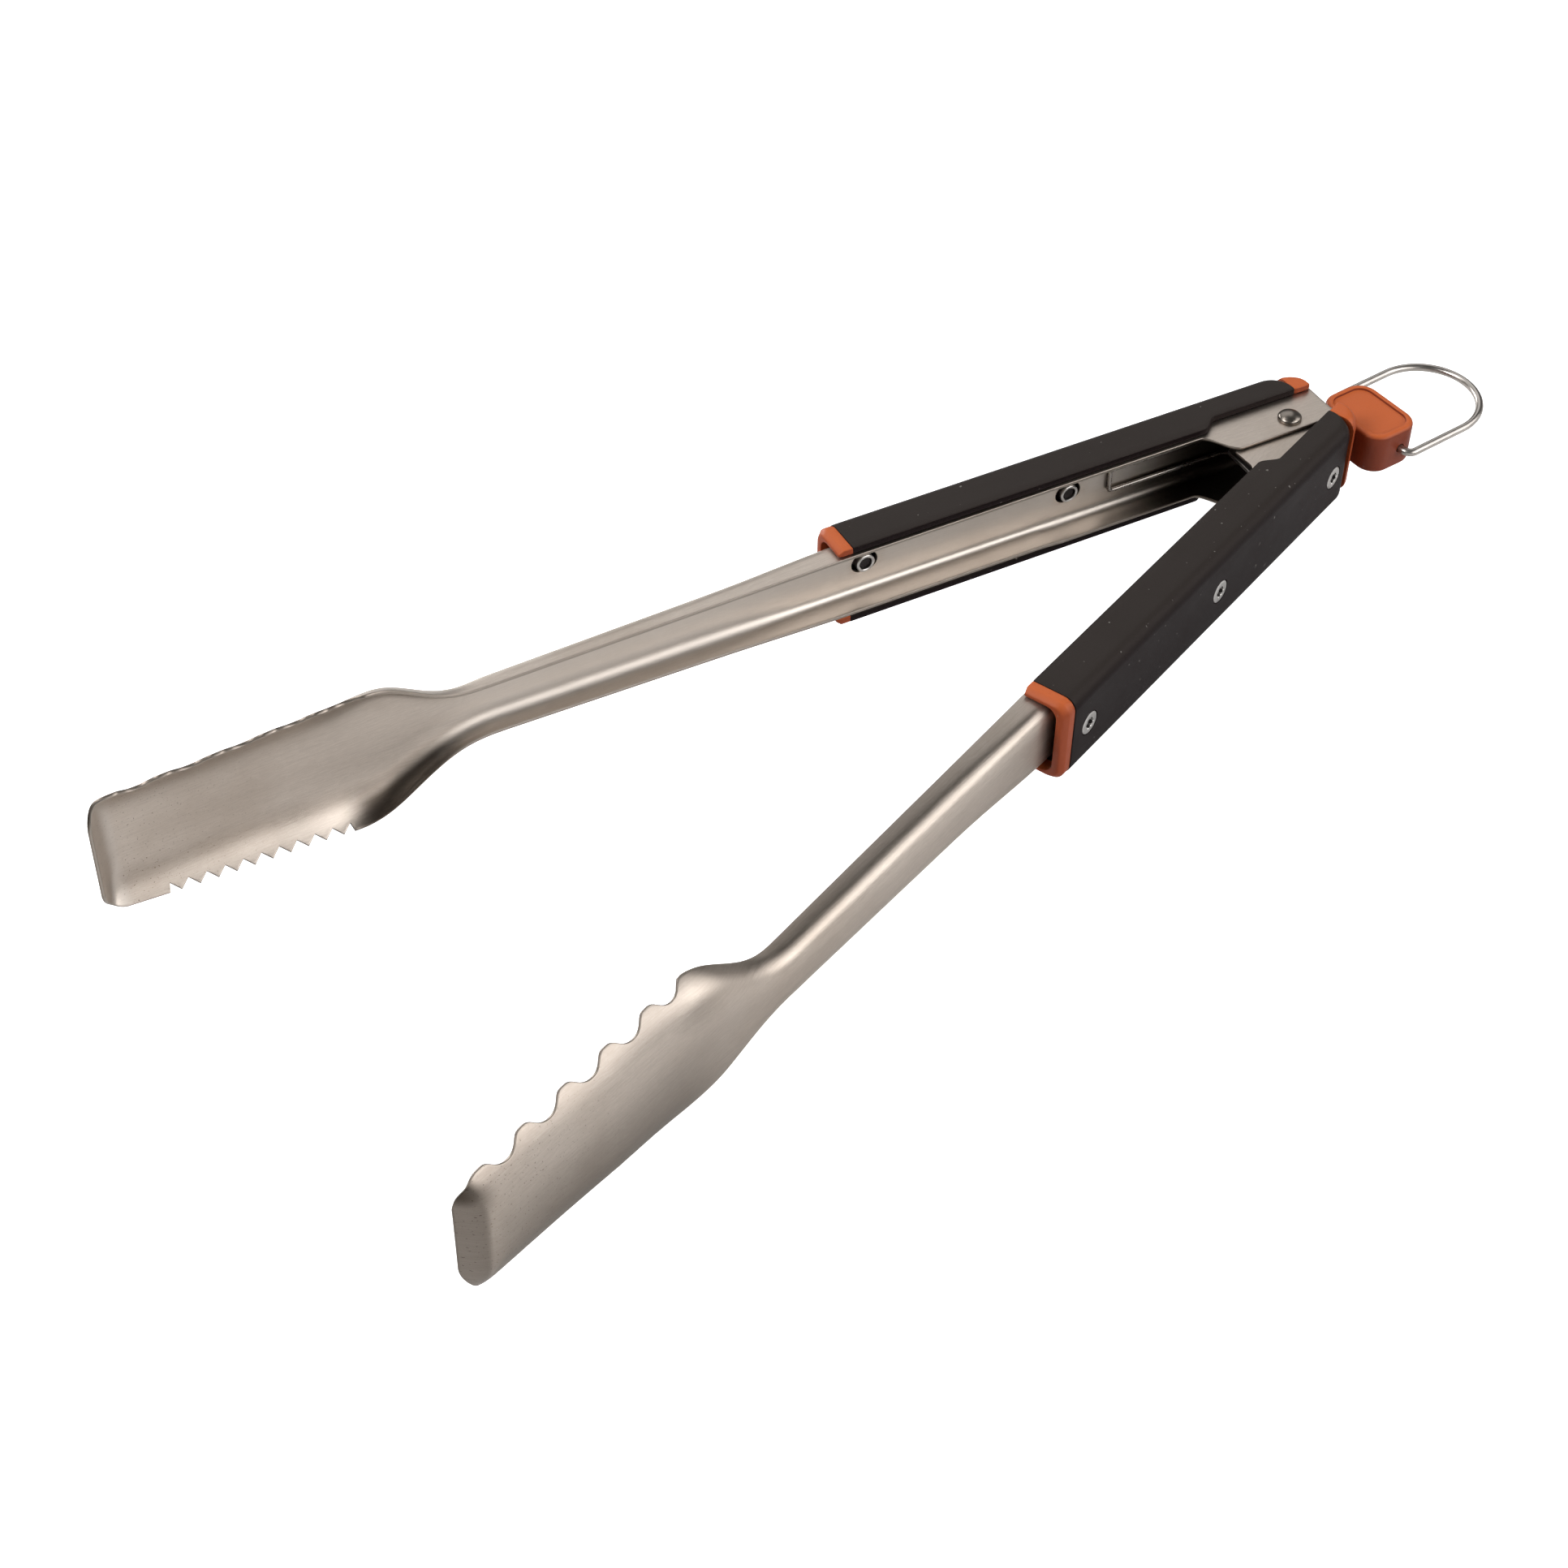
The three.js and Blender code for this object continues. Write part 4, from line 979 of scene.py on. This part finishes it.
def torsion_spring():
    """Two coils with a leg to each arm, joined by a rounded bridge against the far arm's web."""
    rest = WEB_DEPTH - SHEET - 0.3 - SPRING_WIRE
    turns, steps = 2, 32
    inner, outer = 4.6, 4.6 + turns * 2 * SPRING_WIRE + 1
    knee = arm_point(SPRING_KNEE, rest, inner, 1)
    near_end = arm_point(SPRING_NEAR_LEG, rest, outer, -1)

    def tangent(end, side):
        return math.atan2(end.y, end.x) + side * math.acos(COIL_RADIUS / math.hypot(end.x, end.y))

    first, last = tangent(near_end, -1), tangent(knee, 1)
    sweep = math.fmod(first - last, 2 * math.pi) - 2 * math.pi * turns
    count = steps * (turns + 1)
    coil = []
    for i in range(count + 1):
        part = i / count
        angle = first - sweep * part
        height = outer + (inner - outer) * part
        coil.append(Vector((COIL_RADIUS * math.cos(angle), COIL_RADIUS * math.sin(angle), height)))
    round_off = 1.5
    corner = []
    for along, z in arc((SPRING_LEG - round_off, inner - round_off), round_off, 90, 0, 7):
        corner.append(arm_point(along, rest, z, 1))
    upper = [near_end.lerp(coil[0], t) for t in (0, 0.25, 0.5, 0.75)] + coil
    upper += [coil[-1].lerp(knee, t) for t in (0.3, 0.6, 0.85)]
    upper += [knee.lerp(corner[0], t) for t in (0.06, 0.3, 0.5, 0.75)] + corner
    lower = [Vector((p.x, p.y, -p.z)) for p in reversed(upper)]
    obj = wire("opening_spring", upper + lower, SPRING_WIRE, "rivet", SPRING)
    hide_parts("torsion_spring")
    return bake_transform(obj)


# ---- lock and loop ------------------------------------------------------------------------------


def lock_plate():
    """A slotted plate with a wide rounded head between the arms."""
    half, edge = PLATE_THICKNESS / 2, 0.15
    wide, neck, tail = PLATE_HALF_WIDTH * 2, -14, 30
    outline = [(tail, -PLATE_HALF_WIDTH), (neck, -PLATE_HALF_WIDTH), (neck, -wide)]
    outline += [(-x, y) for x, y in arc((17.5, 1.5 - wide), 1.5, -90, 0, 5)]
    outline += [(-x, y) for x, y in arc((17.5, wide - 1.5), 1.5, 0, 90, 5)]
    outline += [(neck, wide), (neck, PLATE_HALF_WIDTH), (tail, PLATE_HALF_WIDTH)]
    middle = Vector((8, 0))
    loops = []
    for level, inset in ((-half, edge), (edge - half, 0), (half - edge, 0), (half, edge)):
        scaled = []
        for x, y in outline:
            away = Vector((x, y)) - middle
            scaled.append((x - math.copysign(inset, away.x), y - math.copysign(inset, away.y), level))
        loops.append(scaled)
    points, faces = loops_mesh(loops)
    obj = outward(mesh_object("sliding_lock_plate", points, faces, "far", PLATE, 30))
    slot = slot_outline(-LOCK_TRAVEL, 0, RIVET_HOLE)
    subtract(obj, [prism("cutter", slot, -5, 5, "far", PLATE)], 30)
    return install(obj, "lock_plate", "lock")


def rounded_rectangle(length, width, radius, steps=12):
    x, y = length / 2 - radius, width / 2 - radius
    points = []
    for cx, cy, start in ((x, y, 0), (-x, y, 90), (-x, -y, 180), (x, -y, 270)):
        points += arc((cx, cy), radius, start, start + 90, steps)
    return points


def lock_tab():
    """A thick pull tab with rounded edges and a shallow panel inside a raised rim on both faces."""
    half, fillet = TAB_HEIGHT / 2, 1.5
    levels = []
    for a in (0, 15, 30, 45, 60, 75, 90):
        turn = math.radians(a)
        levels.append((fillet - fillet * math.cos(turn), half - fillet + fillet * math.sin(turn)))
    levels += [(2.2, half), (2.4, half - 0.1), (2.6, half - 0.75), (2.8, half - 0.85), (4.5, half - 0.85)]
    levels = [(inset, -z) for inset, z in reversed(levels)] + levels
    loops = []
    for inset, z in levels:
        ring = rounded_rectangle(TAB_LENGTH - 2 * inset, TAB_WIDTH - 2 * inset, TAB_CORNER - inset * 0.9)
        loops.append([(x, y, z) for x, y in ring])
    points, faces = loops_mesh(loops)
    obj = outward(mesh_object("pull_tab", points, faces, "tab", PAINTED_SHADE_TAB_ORANGE, 32))
    cutters = [loop_hole(side) for side in (-1, 1)]
    room = PLATE_HALF_WIDTH + 0.2
    turn = Matrix.Rotation(-HALF_OPEN - TAB_YAW, 4, "Z")
    shift = Matrix.Translation((-TAB_LENGTH / 2, plate_offset(), 0)) @ turn
    corners = [(8, -room), (8, room), (-9, room), (-9, -room)]
    pocket = [tuple((shift @ Vector((x, y, 0)))[:2]) for x, y in corners]
    half_slit = PLATE_THICKNESS / 2 + 0.3
    cutters.append(prism("cutter", pocket, -half_slit, half_slit, "tab", PAINTED_SHADE_TAB_ORANGE))
    subtract(obj, cutters, 32)
    return install(obj, "lock_tab", "lock")


def loop_hole(side):
    """A cutter for the loop's hole in one side of the tab."""
    loops = []
    for y in (TAB_WIDTH / 2 - 5, TAB_WIDTH / 2 + 3):
        loops.append([(x + LOOP_SET_BACK, side * y, z) for x, z in arc((0, 0), LOOP_HOLE, 0, 345, 23)])
    points, faces = loops_mesh(loops)
    return outward(mesh_object("cutter", points, faces, "tab", ORANGE))


def plate_offset():
    """Where the lock plate's centre line meets the tab's front face, across the tab."""
    front = Matrix.Rotation(TAB_YAW, 2) @ Vector((-TAB_LENGTH / 2, 0)) + Vector(TAB_CENTRE)
    along = Vector((math.cos(HALF_OPEN), -math.sin(HALF_OPEN)))
    normal = Vector((math.cos(TAB_YAW), math.sin(TAB_YAW)))
    across = Vector((-math.sin(TAB_YAW), math.cos(TAB_YAW)))
    hit = along * (front.dot(normal) / along.dot(normal))
    return (hit - front).dot(across)


def hanging_loop():
    end, bend = TAB_WIDTH / 2 - 4, 3.0
    straight = LOOP_LENGTH - LOOP_HALF_WIDTH
    half = [(0, end), (0, end + 2)]
    half += arc((bend, LOOP_HALF_WIDTH - bend), bend, 180, 90, 10)
    half += [(bend + (straight - bend) * t, LOOP_HALF_WIDTH) for t in (0.25, 0.5, 0.75)]
    half += arc((straight, 0), LOOP_HALF_WIDTH, 90, 0, 30)
    outline = half + [(x, -y) for x, y in reversed(half[:-1])]
    tilt = Matrix.Rotation(-LOOP_PITCH, 3, "Y")
    points = [tilt @ Vector((x, y, 0)) + Vector((LOOP_SET_BACK, 0, 0)) for x, y in outline]
    obj = wire("hanging_bow", points, LOOP_WIRE, "tab", WIRE, 14)
    return install(obj, "hanging_loop", "loop")


# ---- assembly -----------------------------------------------------------------------------------

for side in ("far", "near"):
    steel_arm(side, side == "near")
    handle_cover(side)
    front_trim(side)
    rear_trim(side)
    for place_name, station in STATIONS.items():
        cover_screw(side, place_name, station)
        cover_sleeve(side, place_name, station)
pivot_rivet()
bush_start = PLATE_THICKNESS / 2 + 0.3
bush("upper_spacer_bush", "upper_bush", bush_start, BUSH_END)
bush("lower_spacer_bush", "lower_bush", -BUSH_END, -bush_start)
torsion_spring()
lock_plate()
lock_tab()
hanging_loop()

# ---- studio -------------------------------------------------------------------------------------


def pale_floor():
    """A floor that glows white to the camera and grows darker away from the tongs to reflections."""
    work = bmesh.new()
    bmesh.ops.create_grid(work, x_segments=8, y_segments=8, size=4.0)
    mesh = bpy.data.meshes.new("studio_floor")
    work.to_mesh(mesh)
    work.free()
    material, tree, shader = new_material("pale_floor", Roughness=0.9, Specular_IOR_Level=0.1)
    place = add(tree, "ShaderNodeTexCoord").outputs["Object"]
    cloud = noise(tree, place, 3.0, 2)
    near = mix(tree, cloud, (0.74, 0.74, 0.74, 1), (0.77, 0.77, 0.77, 1))
    away = add(tree, "ShaderNodeVectorMath", {0: place}, operation="LENGTH").outputs["Value"]
    tone = mix(tree, spread(tree, away, 0, 1, 0.45, 1.3), near, (0.28, 0.28, 0.28, 1))
    tree.links.new(tone, shader.inputs["Base Color"])
    shader.inputs["Emission Color"].default_value = (1, 1, 1, 1)
    seen = add(tree, "ShaderNodeLightPath").outputs["Is Camera Ray"]
    tree.links.new(spread(tree, seen, 0.06, 1.0, 0, 1), shader.inputs["Emission Strength"])
    mesh.materials.append(material)
    floor = bpy.data.objects.new("studio_floor", mesh)
    floor.location = (0, 0, -0.0005)
    bpy.context.scene.collection.objects.link(floor)


def soft_box(name, azimuth, elevation, size, power):
    """A soft box that faces the tongs from a direction in degrees."""
    data = bpy.data.lights.new(name, "AREA")
    data.shape = "RECTANGLE"
    data.size, data.size_y = size
    data.energy = power
    turn, rise = math.radians(azimuth), math.radians(elevation)
    away = Vector((math.cos(rise) * math.cos(turn), math.cos(rise) * math.sin(turn), math.sin(rise)))
    lamp = bpy.data.objects.new(name, data)
    lamp.location = away * LIGHT_DISTANCE
    lamp.rotation_euler = (-away).to_track_quat("-Z", "Y").to_euler()
    bpy.context.scene.collection.objects.link(lamp)


def studio_camera():
    """A long lens from the front left and above, as in a product shot."""
    azimuth, elevation, roll = math.radians(-41.571), math.radians(44.156), math.radians(1.064)
    distance = 1.02512
    target = PIVOT + Vector((-0.180015, 0.056316, -0.092291))
    back = Vector(
        (
            math.sin(azimuth) * math.cos(elevation),
            -math.cos(azimuth) * math.cos(elevation),
            math.sin(elevation),
        )
    )
    right = Vector((math.cos(azimuth), math.sin(azimuth), 0))
    up = back.cross(right)
    x_axis = right * math.cos(roll) + up * math.sin(roll)
    y_axis = back.cross(x_axis)
    data = bpy.data.cameras.new("studio_camera")
    data.lens, data.sensor_width = 67.014, 36.0
    data.clip_start, data.clip_end = 0.05, 20
    camera = bpy.data.objects.new("studio_camera", data)
    matrix = Matrix((x_axis, y_axis, back)).transposed().to_4x4()
    matrix.translation = target + back * distance
    camera.matrix_world = matrix
    bpy.context.scene.collection.objects.link(camera)
    bpy.context.scene.camera = camera


def studio_world():
    """A soft surround that is brightest near the horizon and dim overhead."""
    world = bpy.data.worlds.new("studio_world")
    world.use_nodes = True
    tree = world.node_tree
    direction = add(tree, "ShaderNodeTexCoord").outputs["Generated"]
    height = add(tree, "ShaderNodeSeparateXYZ", {"Vector": direction}).outputs["Z"]
    background = tree.nodes["Background"]
    background.inputs["Color"].default_value = (1.0, 0.985, 0.965, 1)
    tree.links.new(spread(tree, height, 0.12, 0.05, 0.05, 0.6), background.inputs["Strength"])
    bpy.context.scene.world = world


pale_floor()
soft_box("back_box", 90, 12, (0.8, 0.6), 15)
soft_box("left_box", 162, 40, (0.9, 0.8), 22)
soft_box("right_front_box", 314, 31, (1.9, 1.4), 18)
soft_box("front_box", 280, 27, (1.6, 1.1), 14)
soft_box("top_back_box", 120, 60, (0.8, 0.6), 6)
soft_box("right_back_box", 50, 42, (1.5, 1.3), 6.2)
studio_world()
bpy.context.scene.view_settings.view_transform = "Standard"

studio_camera()
